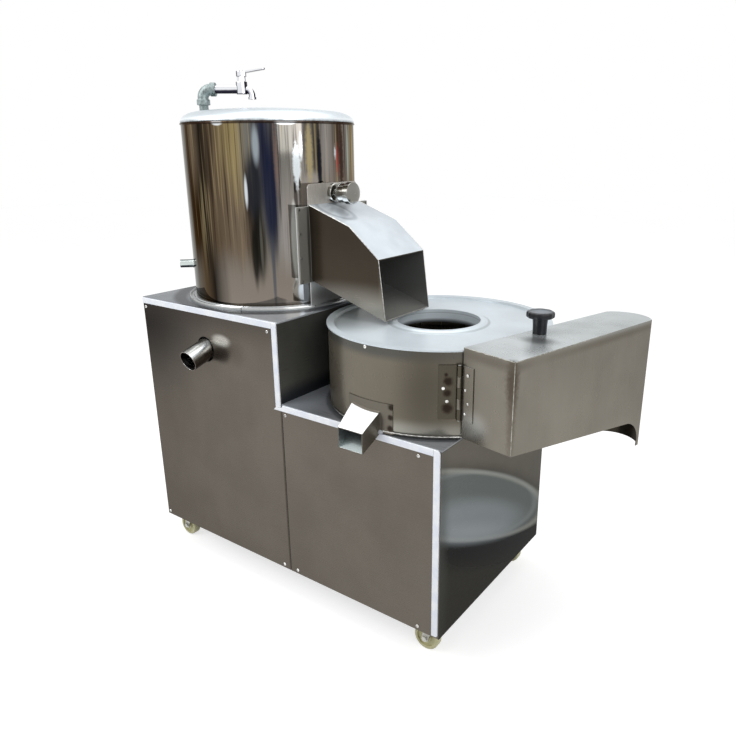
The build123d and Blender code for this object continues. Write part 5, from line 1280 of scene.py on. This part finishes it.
CASTING = Moulded("cast_housing", Slot.CASTING, (0.16, 0.16, 0.16), (0.08, 0.08, 0.08), 0.6, 60.0, 0.6)


# Sub-assemblies


@dataclass
class Layout:
    """Places and sizes that several sub-assemblies share, in millimetres."""

    cabinet_left: float = -550.0
    cabinet_front: float = -214.0
    cabinet_depth: float = 474.0
    tall_length: float = 459.5
    tall_top: float = 673.5
    drum_spacing: float = 480.0

    @property
    def peeler(self) -> Pair:
        """Return the peeling drum's axis in plan."""
        return self.cabinet_left + self.tall_length / 2, self.cabinet_front + self.cabinet_depth / 2

    @property
    def slicer(self) -> Pair:
        """Return the slicing drum's axis in plan."""
        return self.peeler[0] + self.drum_spacing, self.peeler[1]


@dataclass
class Cabinet:
    """Panels, strips, frame, back and drain of the stepped cabinet."""

    sheet_ease: float = 0.5
    frame_ease: float = 0.6

    def build(self) -> None:
        """Dress the sheets, the white strips, the louvred back, its gland, the drain and the frame."""
        for node, finish in (
            ("front_panel_tall", PANEL),
            ("front_panel_low", PANEL),
            ("right_side_panel", SIDE),
            ("left_side_panel", SIDE),
            ("riser_panel", RISER),
            ("tall_top_plate", TOP_PLATE),
            ("low_top_plate", LOW_PLATE),
        ):
            stand_in(node, node + "_sheet", finish, self.sheet_ease)
        stand_in("edge_strips", "edge_strip_set", STRIP, 0.0)
        stand_in("back_panel", "back_louvre_panel", BACK)
        stand_in("cable_gland", "gland", GLAND, self.frame_ease)
        stand_in("drain_pipe", "drain_tube", PIPE)
        stand_in("cabinet_frame", "angle_iron_frame", FRAME_PAINT, self.frame_ease)


@dataclass
class Fasteners:
    """Domed screws and rivets on the outside, each a head's radius, height and recess."""

    screw: Point = (4.0, 2.6, 1.0)
    flange_screw: Point = (3.2, 1.8, 0.8)
    rivet: Point = (3.0, 1.2, 0.0)

    @staticmethod
    def seats_of(node: str) -> list[tuple[Point, Vector]]:
        """Find the seat and normal of each loose head in a CAD node.

        Args:
            node: The CAD node that holds the heads.

        Returns:
            Places in millimetres and outward normals.
        """
        bm = bmesh.new()
        bm.from_mesh(frame["nodes"][node].data)
        bmesh.ops.remove_doubles(bm, verts=bm.verts, dist=SAME_POINT)
        seats, known = [], set()
        for start in bm.verts:
            if start in known:
                continue
            head = [start]
            known.add(start)
            for vert in head:  # the list grows as neighbours are met
                for other in [edge.other_vert(vert) for edge in vert.link_edges]:
                    if other not in known:
                        known.add(other)
                        head.append(other)
            areas: dict[Point, float] = {}
            for face in dict.fromkeys(face for vert in head for face in vert.link_faces):
                key = tuple(round(part, 2) for part in face.normal)
                areas[key] = areas.get(key, 0.0) + face.calc_area()
            base = Vector(max(areas, key=areas.get))
            middle = sum((vert.co for vert in head), Vector()) / len(head)
            reach = max((vert.co - middle).dot(base) for vert in head)
            seats.append((tuple((middle + base * reach) / MM), -base))
        bm.free()
        return seats

    def build(self) -> None:
        """Build the cabinet's and the outlet's screws and the rivets of both hinge leaves."""
        seats = self.seats_of("pan_head_screws")
        flange = [seat for seat in seats if seat[1].x > 0.9]
        outer = [seat for seat in seats if seat[1].x <= 0.9]
        sets = [
            ("pan_head_screws", "domed_screws", outer, PLATED, self.screw, Body.CABINET),
            ("pan_head_screws", "flange_screws", flange, DULL, self.flange_screw, Body.CABINET),
        ]
        for node, body in (("hinge_rivets_drum", Body.CABINET), ("hinge_rivets_hood", Body.HOOD)):
            sets.append((node, node + "_domed", self.seats_of(node), PLATED, self.rivet, body))
        for node, name, chosen, finish, head, body in sets:
            finished(headed(name, chosen, finish, dome_head(*head)), body, finish, node)


@dataclass
class PeelingDrum:
    """Mirror drum with its ring, liner, nozzle, cover, outlet, gate and chute."""

    layout: Layout
    radius: float = 200.0
    wall: float = 2.0
    floor: float = 3.0
    height: float = 401.5
    bead: float = 2.5
    bead_height: float = 5.0
    ring_width: float = 17.5
    ring_height: float = 6.0
    tabs: int = 8
    tab_gap: float = 2.0
    window: tuple[float, float, float, float] = (-89.0, 59.0, 72.0, 212.0)
    shaft_hole: float = 16.0
    drain_hole: float = 23.0
    drain: Pair = (-8.0, -97.0)
    cover_gap: float = 0.3
    cover_crown: float = 33.0
    cover_sheet: float = 2.0
    cover_sag: float = 9.0
    cover_reach: int = 166
    hem_radius: float = 0.9
    chute_sides: Pair = (-75.6, 91.6)
    chute_edge: tuple[Pair, ...] = ((-112.5, 902.2), (-1.9, 863.0), (73.1, 800.0), (89.4, 672.5))

    def glint(self, turn: float, rise: float, wide: float, high: float, *look: object) -> Patch:
        """Return a painted reflection patch on the wall at a share of a turn and of the height, by its half sizes and
        look.
        """
        spot = round_point(*self.layout.peeler, self.radius, (turn - 0.5) * FULL_TURN)
        return Patch((*spot, self.layout.tall_top + rise * self.height), (wide, wide, high), *look)

    def mirror(self) -> MirrorDrum:
        """Make the drum's polished finish, with broad painted reflection bands, single painted reflections and a
        painted shadow under the cover.

        Returns:
            The finish.
        """
        # Tones of the painted reflections of the room.
        pale, ash, stone, smoke = (168, 176, 178), (112, 110, 104), (126, 118, 109), (144, 139, 134)
        umber, brown, fawn, ochre = (60, 42, 27), (86, 72, 56), (112, 98, 82), (148, 132, 92)
        black, navy = (28, 24, 20), (34, 38, 58)
        rows = (
            (0.1, bands((0.0, *pale), (0.05, *ash), (0.12, *brown), (0.19, *black), (0.28, *stone))),
            (0.45, bands(
                (0.0, *pale), (0.05, *umber), (0.16, *black), (0.22, *brown), (0.36, *fawn), (0.41, *black),
                (0.47, *ash), (0.52, *smoke), (0.68, *stone), (1.0, *fawn),
            )),
            (0.93, bands(
                (0.0, *pale), (0.05, *umber), (0.1, *fawn), (0.17, *black), (0.24, *brown), (0.34, *ochre),
                (0.39, *ash), (0.45, *navy), (0.53, *ash), (0.62, *smoke), (0.67, *black), (0.72, *smoke),
                (0.79, *umber), (0.87, *smoke), (0.92, *ochre), (1.0, *umber),
            )),
        )
        # Single painted reflections, light and dark: turn, rise, half width, half height, tone, strength, softness,
        # raggedness.
        glints = (
            (0.345, 0.66, 17, 70, (36, 38, 44), 0.9, 0.4),
            (0.350, 0.36, 11, 74, (26, 25, 22), 0.9, 0.45),
            (0.372, 0.62, 16, 120, (24, 30, 52), 0.9, 0.45),
            (0.340, 0.30, 7, 66, (24, 24, 20), 0.9, 0.4),
            (0.352, 0.34, 3, 60, (92, 90, 82), 0.7, 0.5),
            (0.371, 0.20, 3.4, 80, (66, 72, 82), 0.7, 0.5),
            (0.331, 0.64, 3.4, 30, (214, 220, 224), 0.95, 0.5),
            (0.352, 0.88, 7, 36, (156, 166, 172), 0.85, 0.5),
            (0.420, 0.77, 8.5, 42, (222, 229, 233), 0.95, 0.35, 0.8),
            (0.429, 0.87, 3.6, 26, (228, 233, 236), 0.9, 0.4, 0.4),
            (0.415, 0.66, 2.2, 12, (20, 18, 18), 0.9, 0.4),
            (0.424, 0.68, 2.2, 11, (20, 18, 18), 0.9, 0.4),
            (0.448, 0.62, 28, 48, (146, 140, 133), 0.95, 0.22),
            (0.411, 0.37, 8.5, 82, (236, 236, 230), 0.95, 0.2),
            (0.423, 0.085, 13, 32, (190, 194, 198), 0.95, 0.25),
            (0.444, 0.84, 8, 60, (178, 162, 118), 0.7, 0.5, 0.8),
            (0.464, 0.78, 5.5, 70, (24, 27, 34), 0.95, 0.4, 0.8),
            (0.521, 0.80, 8, 70, (54, 38, 34), 0.85, 0.5, 1.4),
            (0.545, 0.82, 5, 62, (164, 174, 162), 0.8, 0.4),
            (0.572, 0.82, 6, 62, (200, 176, 116), 0.8, 0.4),
            (0.508, 0.80, 4, 26, (170, 48, 56), 0.6, 0.8, 2.0),
            (0.502, 0.84, 3, 12, (214, 220, 226), 0.7, 0.6, 1.6),
            (0.286, 0.992, 13, 6, (236, 240, 242), 1.0, 0.3),
            (0.404, 0.992, 22, 5, (236, 240, 242), 1.0, 0.3),
            (0.385, 0.80, 4, 60, (150, 110, 92), 0.3, 0.8, 1.6),
        )
        axis, base = self.layout.peeler, self.layout.tall_top
        # Painted shadow: a dark band round the top of the drum, under the cover's rim.
        shadow = Patch((*axis, base + self.height), (1e4, 1e4, 5.5), (50, 38, 32), 0.85, 0.3)
        patches = (*(self.glint(*row) for row in glints), shadow)
        return MirrorDrum("mirror_steel", Slot.POLISHED, (*axis, base), self.height, rows, patches=patches)

    def can(self) -> Piece:
        """Build the can with its rolled rim, window and holes.

        Returns:
            The piece.
        """
        (x, y), base = self.layout.peeler, self.layout.tall_top
        inner, wall_top = self.radius - self.wall, self.height - self.bead_height
        middle = self.height - self.bead_height / 2
        turns = [-pi / 2 + pi * step / 6 for step in range(7)]
        profile = [(0.0, 0.0), *((self.radius, wall_top * share) for share in (0.0, 0.25, 0.5, 0.75, 1.0))]
        profile += [(self.radius + self.bead * cos(t), middle + self.bead_height / 2 * sin(t)) for t in turns]
        profile += [(inner, self.height), (inner, self.floor), (0.0, self.floor)]
        low_y, high_y, low, high = self.window
        near = (x + self.radius / 2, y + low_y, base + low)
        tools = [box("tool", near, (x + 1.5 * self.radius, y + high_y, base + high))]
        for radius, east, north in ((self.shaft_hole, 0.0, 0.0), (self.drain_hole, *self.drain)):
            core = [(0.0, -9.0), (radius, -9.0), (radius, 9.0), (0.0, 9.0)]
            tools.append(turned("tool", core, (x + east, y + north, base), 48))
        can = cut(turned("peeler_can", profile, (x, y, base), 192), *tools)
        tidy_mesh(can, SHARP)
        return can

    def ring(self) -> Piece:
        """Build the base ring: a row of tabs set round the drum by a geometry node tree.

        Returns:
            The piece.
        """
        inner, outer, high = self.radius + 0.05, self.radius + self.ring_width, self.ring_height
        section = [
            (inner, 0.0), (outer, 0.0), (outer, high * 0.7), (outer - 1.2, high), (outer - 4.4, high),
            (outer - 5.8, high * 0.55), (inner + 6.4, high * 0.55), (inner + 5.0, high * 0.92), (inner, high * 0.92),
        ]
        gap = self.tab_gap / outer
        turns = [gap / 2 + (FULL_TURN / self.tabs - gap) * step / 20 for step in range(21)]
        rings = [[(*round_point(0.0, 0.0, radius, turn), height) for radius, height in section] for turn in turns]
        name = "drum_ring_tabs"
        recipe = Recipe(name, Tab="Object", Count="Int", Centre="Vector", Start="Float")
        given = recipe.given
        points = recipe.node("GeometryNodePoints", None, {"Count": given["Count"], "Position": given["Centre"]})
        share = recipe.maths("DIVIDE", recipe.node("GeometryNodeInputIndex").outputs[0], given["Count"])
        turn = recipe.maths("ADD", recipe.maths("MULTIPLY", share, FULL_TURN), given["Start"])
        placed = recipe.repeat(points.outputs[0], "Tab", recipe.spun(turn))
        centre = tuple(part * MM for part in (*self.layout.peeler, self.layout.tall_top))
        values = {"Tab": skinned("tab", rings, 30.0), "Count": self.tabs, "Centre": centre, "Start": pi / self.tabs}
        return recipe.run(placed, meshed(name, []), RING, **values)

    def cover(self) -> Piece:
        """Build the dished cover with its spigot.

        Returns:
            The piece.
        """
        radii = [float(radius) for radius in range(10, self.cover_reach + 1, 12)]
        under = self.cover_crown - self.cover_sheet
        sag = [self.cover_sag * (radius / self.cover_reach) ** 2 for radius in radii]
        profile = [(200.5, 0.0), (200.5, 3.0), (199.6, 6.5), (197.0, 10.5), (192.0, 14.8), (184.0, 19.0), (175.0, 22.0)]
        profile += [(radius, self.cover_crown - drop) for radius, drop in reversed(list(zip(radii, sag)))]
        profile += [(0.0, self.cover_crown), (0.0, under)]
        profile += [(radius, under - drop) for radius, drop in zip(radii, sag)]
        profile += [(183.0, 16.8), (191.0, 12.4), (194.5, 8.0), (194.5, -12.0), (196.5, -12.0), (196.5, 0.0)]
        base = self.layout.tall_top + self.height + self.cover_gap
        return turned("dished_cover", profile, (*self.layout.peeler, base), 160, 50.0)

    def build(self) -> None:
        """Build the drum and everything that stands on it."""
        finished(self.can(), Body.CABINET, self.mirror(), "peeler_drum")
        finished(self.ring(), Body.CABINET, RING, "drum_base_ring")
        finished(self.cover(), Body.COVER, COVER, "top_cover")
        stand_in("drum_liner", "abrasive_liner", GRIT, 0.0)
        stand_in("side_nozzle", "water_nozzle", NOZZLE)
        stand_in("outlet_frame", "outlet_neck", FLANGE, 0.5)
        stand_in("outlet_chute", "folded_chute", CHUTE, 0.5)
        stand_in("gate_plate", "sliding_gate", GATE, 0.5, Body.GATE)
        stand_in("gate_knob", "gate_spool", SPOOL, 0.8, Body.GATE, 30.0, 3)
        for number, side in enumerate(self.chute_sides):
            path = [(x, side, z) for x, z in self.chute_edge]
            finished(swept(f"chute_hem_{number + 1}", path, self.hem_radius, BEAD, 8), Body.CABINET, BEAD)


@dataclass
class Tap:
    """Galvanised elbow, chrome bib tap and its lever on the cover."""

    cast_ease: float = 0.8
    body_ease: float = 0.5

    def build(self) -> None:
        """Dress the elbow, the tap's body and the lever."""
        stand_in("water_elbow", "iron_elbow", ELBOW, self.cast_ease, Body.COVER, SHARP)
        stand_in("tap_body", "bib_tap", CHROME, self.body_ease, Body.COVER, SHARP)
        stand_in("tap_lever", "bib_tap_lever", CHROME, self.cast_ease, Body.TAP_LEVER, SHARP)


@dataclass
class SlicingDrum:
    """Slicing drum with ring, lid, spout, hinge and rotor."""

    layout: Layout
    bead_reach: float = 238.4
    bead_level: float = 497.0
    bead_radius: float = 1.6
    bead_points: int = 120
    dab_place: Point = (176.0, -213.5, 494.0)
    dab_half: Pair = (8.0, 5.0)

    def sealant(self) -> Piece:
        """Build the dab of sealant between the spout and the edge strip.

        Returns:
            The piece.
        """
        wide, high = self.dab_half
        bulge = [(wide * cos(radians(t)), high * sin(radians(t))) for t in range(-70, 71, 14)]
        return turned("sealant_dab", [(0.0, -high), *bulge, (0.0, high)], self.dab_place, 28, 60.0)

    def foot_bead(self) -> Piece:
        """Build the weld bead round the drum's foot.

        Returns:
            The piece.
        """
        turns = [FULL_TURN * n / self.bead_points for n in range(self.bead_points)]
        path = [(*round_point(*self.layout.slicer, self.bead_reach, turn), self.bead_level) for turn in turns]
        return swept("drum_foot_bead", path, self.bead_radius, BEAD, 10, True)

    def build(self) -> None:
        """Dress the slicing drum's pieces."""
        stand_in("slicer_drum", "slicing_can", CAN, 0.0, smooth=30.0)
        stand_in("slicer_base_ring", "slicer_ring", SATIN)
        stand_in("slicer_lid", "slicer_cover", LID, smooth=30.0)
        stand_in("water_spout", "folded_spout", SPOUT, 0.3)
        stand_in("hinge_leaf_drum", "drum_leaf", LEAF, 0.3)
        stand_in("hinge_pin", "hinge_rod", GROUND, 0.3)
        stand_in("cutter_disc", "slotted_disc", SATIN, body=Body.SLICER_ROTOR)
        stand_in("cutter_blades", "slicing_knives", KNIFE, 0.0, Body.SLICER_ROTOR)
        stand_in("cutter_nut", "rotor_nut", PLATED, body=Body.SLICER_ROTOR)
        finished(self.foot_bead(), Body.CABINET, BEAD)
        finished(self.sealant(), Body.CABINET, SEALANT)


@dataclass
class DischargeHood:
    """Folded hood on its hinge, and the black knob."""

    knob_place: Point = (397.75, 9.0, 676.3)
    lobes: int = 8
    lobe_depth: float = 0.045
    stem_reach: float = 20.0
    seam_radius: float = 0.8
    seam_low: float = 503.0
    seam_top: float = 675.5

    def seams(self) -> list[Piece]:
        """Build the ground seams down the front corner and along the top's front edges.

        Returns:
            The seams.
        """
        upper = [vert.co / MM for vert in frame["nodes"]["discharge_hood"].data.vertices]
        upper = [spot for spot in upper if spot.z > self.seam_top]
        corner = min(upper, key=lambda spot: spot.y)
        root = min(upper, key=lambda spot: spot.x + spot.y * 0.2)
        tail = max(upper, key=lambda spot: spot.x)
        inset = self.seam_radius * 0.5
        edge, top = corner.y + inset, self.seam_top - inset
        made = []
        for number, (start, stop) in enumerate((
            ((corner.x - inset, edge, self.seam_low), (corner.x - inset, edge, self.seam_top)),
            ((root.x + 1.0, root.y, top), (corner.x, edge, top)),
            ((corner.x, edge, top), (tail.x - 1.6, tail.y - 2.0, top)),
        )):
            path = [tuple(Vector(start).lerp(Vector(stop), n / 12)) for n in range(13)]
            made.append(swept(f"hood_seam_{number + 1}", path, self.seam_radius, LINE, 8))
        return made

    def lobe(self, turn: float, radius: float) -> float:
        """Return the radius factor of the knob's lobed head, or 1 on its stem."""
        dip = self.lobe_depth * (0.5 + 0.5 * cos(self.lobes * turn)) ** 2
        return 1.0 if radius < self.stem_reach else 1.0 - dip

    def knob(self) -> Piece:
        """Build the lobed mushroom knob.

        Returns:
            The piece.
        """
        profile = [
            (0.0, -7.0), (3.9, -7.0), (3.9, 0.0), (13.5, 0.0), (13.8, 16.0), (14.8, 28.0), (16.6, 31.0), (23.0, 31.4),
            (26.3, 32.4), (27.3, 34.4), (27.3, 40.0), (26.4, 42.4), (24.0, 43.7), (21.0, 43.9), (19.0, 43.3),
            (10.0, 42.9), (0.0, 42.8),
        ]
        return turned("mushroom_knob", profile, self.knob_place, 128, wobble=self.lobe)

    def build(self) -> None:
        """Dress the hood, its leaf and the knob."""
        stand_in("discharge_hood", "folded_hood", HOOD, 0.5, Body.HOOD, 30.0)
        stand_in("hinge_leaf_hood", "hood_leaf", HOOD, 0.3, Body.HOOD)
        for seam in self.seams():
            finished(seam, Body.HOOD, LINE)
        finished(self.knob(), Body.HOOD_KNOB, BLACK, "hood_knob")


@dataclass
class Casters:
    """Four swivelling casters."""

    places: tuple[str, ...] = ("front_left", "front_right", "back_left", "back_right")
    fork_ease: float = 0.3

    def build(self) -> None:
        """Dress plates, forks and wheels."""
        stand_in("caster_plates", "caster_top_plates", ZINC, 0.5)
        for place in self.places:
            fork, wheel = "caster_fork_" + place, "caster_wheel_" + place
            stand_in(fork, fork + "_pressing", ZINC, self.fork_ease, Body(fork))
            stand_in(wheel, wheel + "_tyre", NYLON, 0.0, Body(wheel), SHARP)


@dataclass
class Drives:
    """Shafts, bearings, pulleys, belts, motors and brackets inside the cabinet."""

    fixed_ease: float = 0.6
    casting_ease: float = 0.8

    def build(self) -> None:
        """Dress the hidden drives."""
        stand_in("bearing_housings", "bearing_castings", CASTING, self.casting_ease)
        stand_in("drive_motors", "finned_motors", MOTOR_PAINT, self.fixed_ease)
        stand_in("motor_brackets", "hanging_brackets", FRAME_PAINT, self.fixed_ease)
        stand_in("drive_belts", "v_belts", RUBBER, self.fixed_ease)
        for node, body, finish in (
            ("abrasive_disc", Body.PEELER_ROTOR, GRIT),
            ("disc_nut", Body.PEELER_ROTOR, PLATED),
            ("peeler_shaft", Body.PEELER_ROTOR, GROUND),
            ("peeler_pulley", Body.PEELER_ROTOR, CASTING),
            ("peeler_motor_pulley", Body.PEELER_MOTOR, CASTING),
            ("slicer_shaft", Body.SLICER_ROTOR, GROUND),
            ("slicer_pulley", Body.SLICER_ROTOR, CASTING),
            ("slicer_motor_pulley", Body.SLICER_MOTOR, CASTING),
        ):
            stand_in(node, node + "_dressed", finish, body=body)


# Studio


@dataclass
class Studio:
    """Pale floor, white surround, soft lamps and the camera."""

    camera_place: Point = (896.8, -1171.9, 1021.0)
    azimuth: float = -35.36
    elevation: float = -17.85
    roll: float = 0.24
    focal_px: float = 669.06
    frame_px: float = 736.0
    centre_px: Pair = (397.0, 362.4)
    sensor: float = 36.0
    floor_half: float = 12000.0
    lamp_aim: Point = (0.0, 0.0, 0.5)

    def camera(self) -> None:
        """Set the camera at the photograph's viewing angle."""
        data = bpy.data.cameras.new("camera")
        data.sensor_width = self.sensor
        data.lens = self.focal_px / self.frame_px * self.sensor
        data.shift_x = (self.frame_px / 2 - self.centre_px[0]) / self.frame_px
        data.shift_y = (self.centre_px[1] - self.frame_px / 2) / self.frame_px
        data.clip_end = 100.0
        camera = linked("camera", data)
        turn, tilt = radians(self.azimuth), radians(self.elevation)
        look = Vector((sin(turn) * cos(tilt), cos(turn) * cos(tilt), sin(tilt)))
        side = look.cross(Vector((0.0, 0.0, 1.0))).normalized()
        spin = Matrix.Rotation(radians(self.roll), 3, look)
        axes = Matrix((spin @ side, spin @ side.cross(look), -look)).transposed()
        camera.matrix_world = Matrix.Translation(Vector(self.camera_place) * MM) @ axes.to_4x4()
        bpy.context.scene.camera = camera

    @staticmethod
    def seen(graph: Graph) -> Value:
        """Mark the rays that see a surface as the eye, a mirror or glass does.

        Args:
            graph: The material's or the world's nodes.

        Returns:
            1 for those rays and 0 for others.
        """
        rays = graph.node("ShaderNodeLightPath")
        kinds = ("Camera", "Glossy", "Transmission")
        eye, gloss, glass = (Value(graph, rays.outputs[f"Is {kind} Ray"]) for kind in kinds)
        return eye.apply("MAXIMUM", gloss).apply("MAXIMUM", glass)

    def surround(self) -> None:
        """Make the world white to the eye and a soft level to the object."""
        bpy.context.scene.world = bpy.data.worlds.new("surround")
        graph = Graph(bpy.context.scene.world)
        graph.feed(Color=(1.0, 1.0, 1.0), Strength=self.seen(graph) * 0.45 + 0.55)

    def floor(self) -> None:
        """Lay the pale floor, which shows white and keeps the shadow."""
        half = self.floor_half
        made = box("floor", (-half, -half, -6.0), (half, half, -0.4))
        paint = bpy.data.materials.new("floor_paint")
        graph = Graph(paint)
        cloud = graph.noise(graph.place(), 0.8, 2.0, 0.5)
        graph.feed(
            Base_Color=graph.mix(cloud, (0.5, 0.5, 0.5), (0.54, 0.54, 0.54)),
            Roughness=0.9,
            Emission_Color=graph.mix(self.seen(graph), (0.0, 0.0, 0.0), (0.66, 0.66, 0.66)),
            Emission_Strength=1.0,
        )
        made.data.materials.append(paint)

    def lamps(self) -> None:
        """Hang three soft lamps."""
        for name, place, size, power in (
            ("key", (-1500.0, -2200.0, 2600.0), 1800.0, 45.0),
            ("fill", (2400.0, -900.0, 1800.0), 1800.0, 22.0),
            ("top", (0.0, 300.0, 3000.0), 2400.0, 30.0),
        ):
            data = bpy.data.lights.new(name, "AREA")
            data.size = size * MM
            data.energy = power
            lamp = linked(name, data)
            lamp.location = Vector(place) * MM
            lamp.rotation_mode = "QUATERNION"
            lamp.rotation_quaternion = (Vector(self.lamp_aim) - lamp.location).to_track_quat("-Z", "Y")

    def build(self) -> None:
        """Build the studio."""
        bpy.context.scene.view_settings.view_transform = "Standard"
        self.camera()
        self.surround()
        self.floor()
        self.lamps()


def main() -> None:
    """Build every sub-assembly, then the studio, and log each one as it is built."""
    logging.basicConfig(level=logging.INFO, format="%(name)s %(message)s")
    layout = Layout()
    for part in (
        Cabinet(), Fasteners(), PeelingDrum(layout), Tap(), SlicingDrum(layout), DischargeHood(), Casters(), Drives(),
        Studio(),
    ):
        part.build()
        LOG.info("%s built", type(part).__name__)


if __name__ == "__main__":
    main()
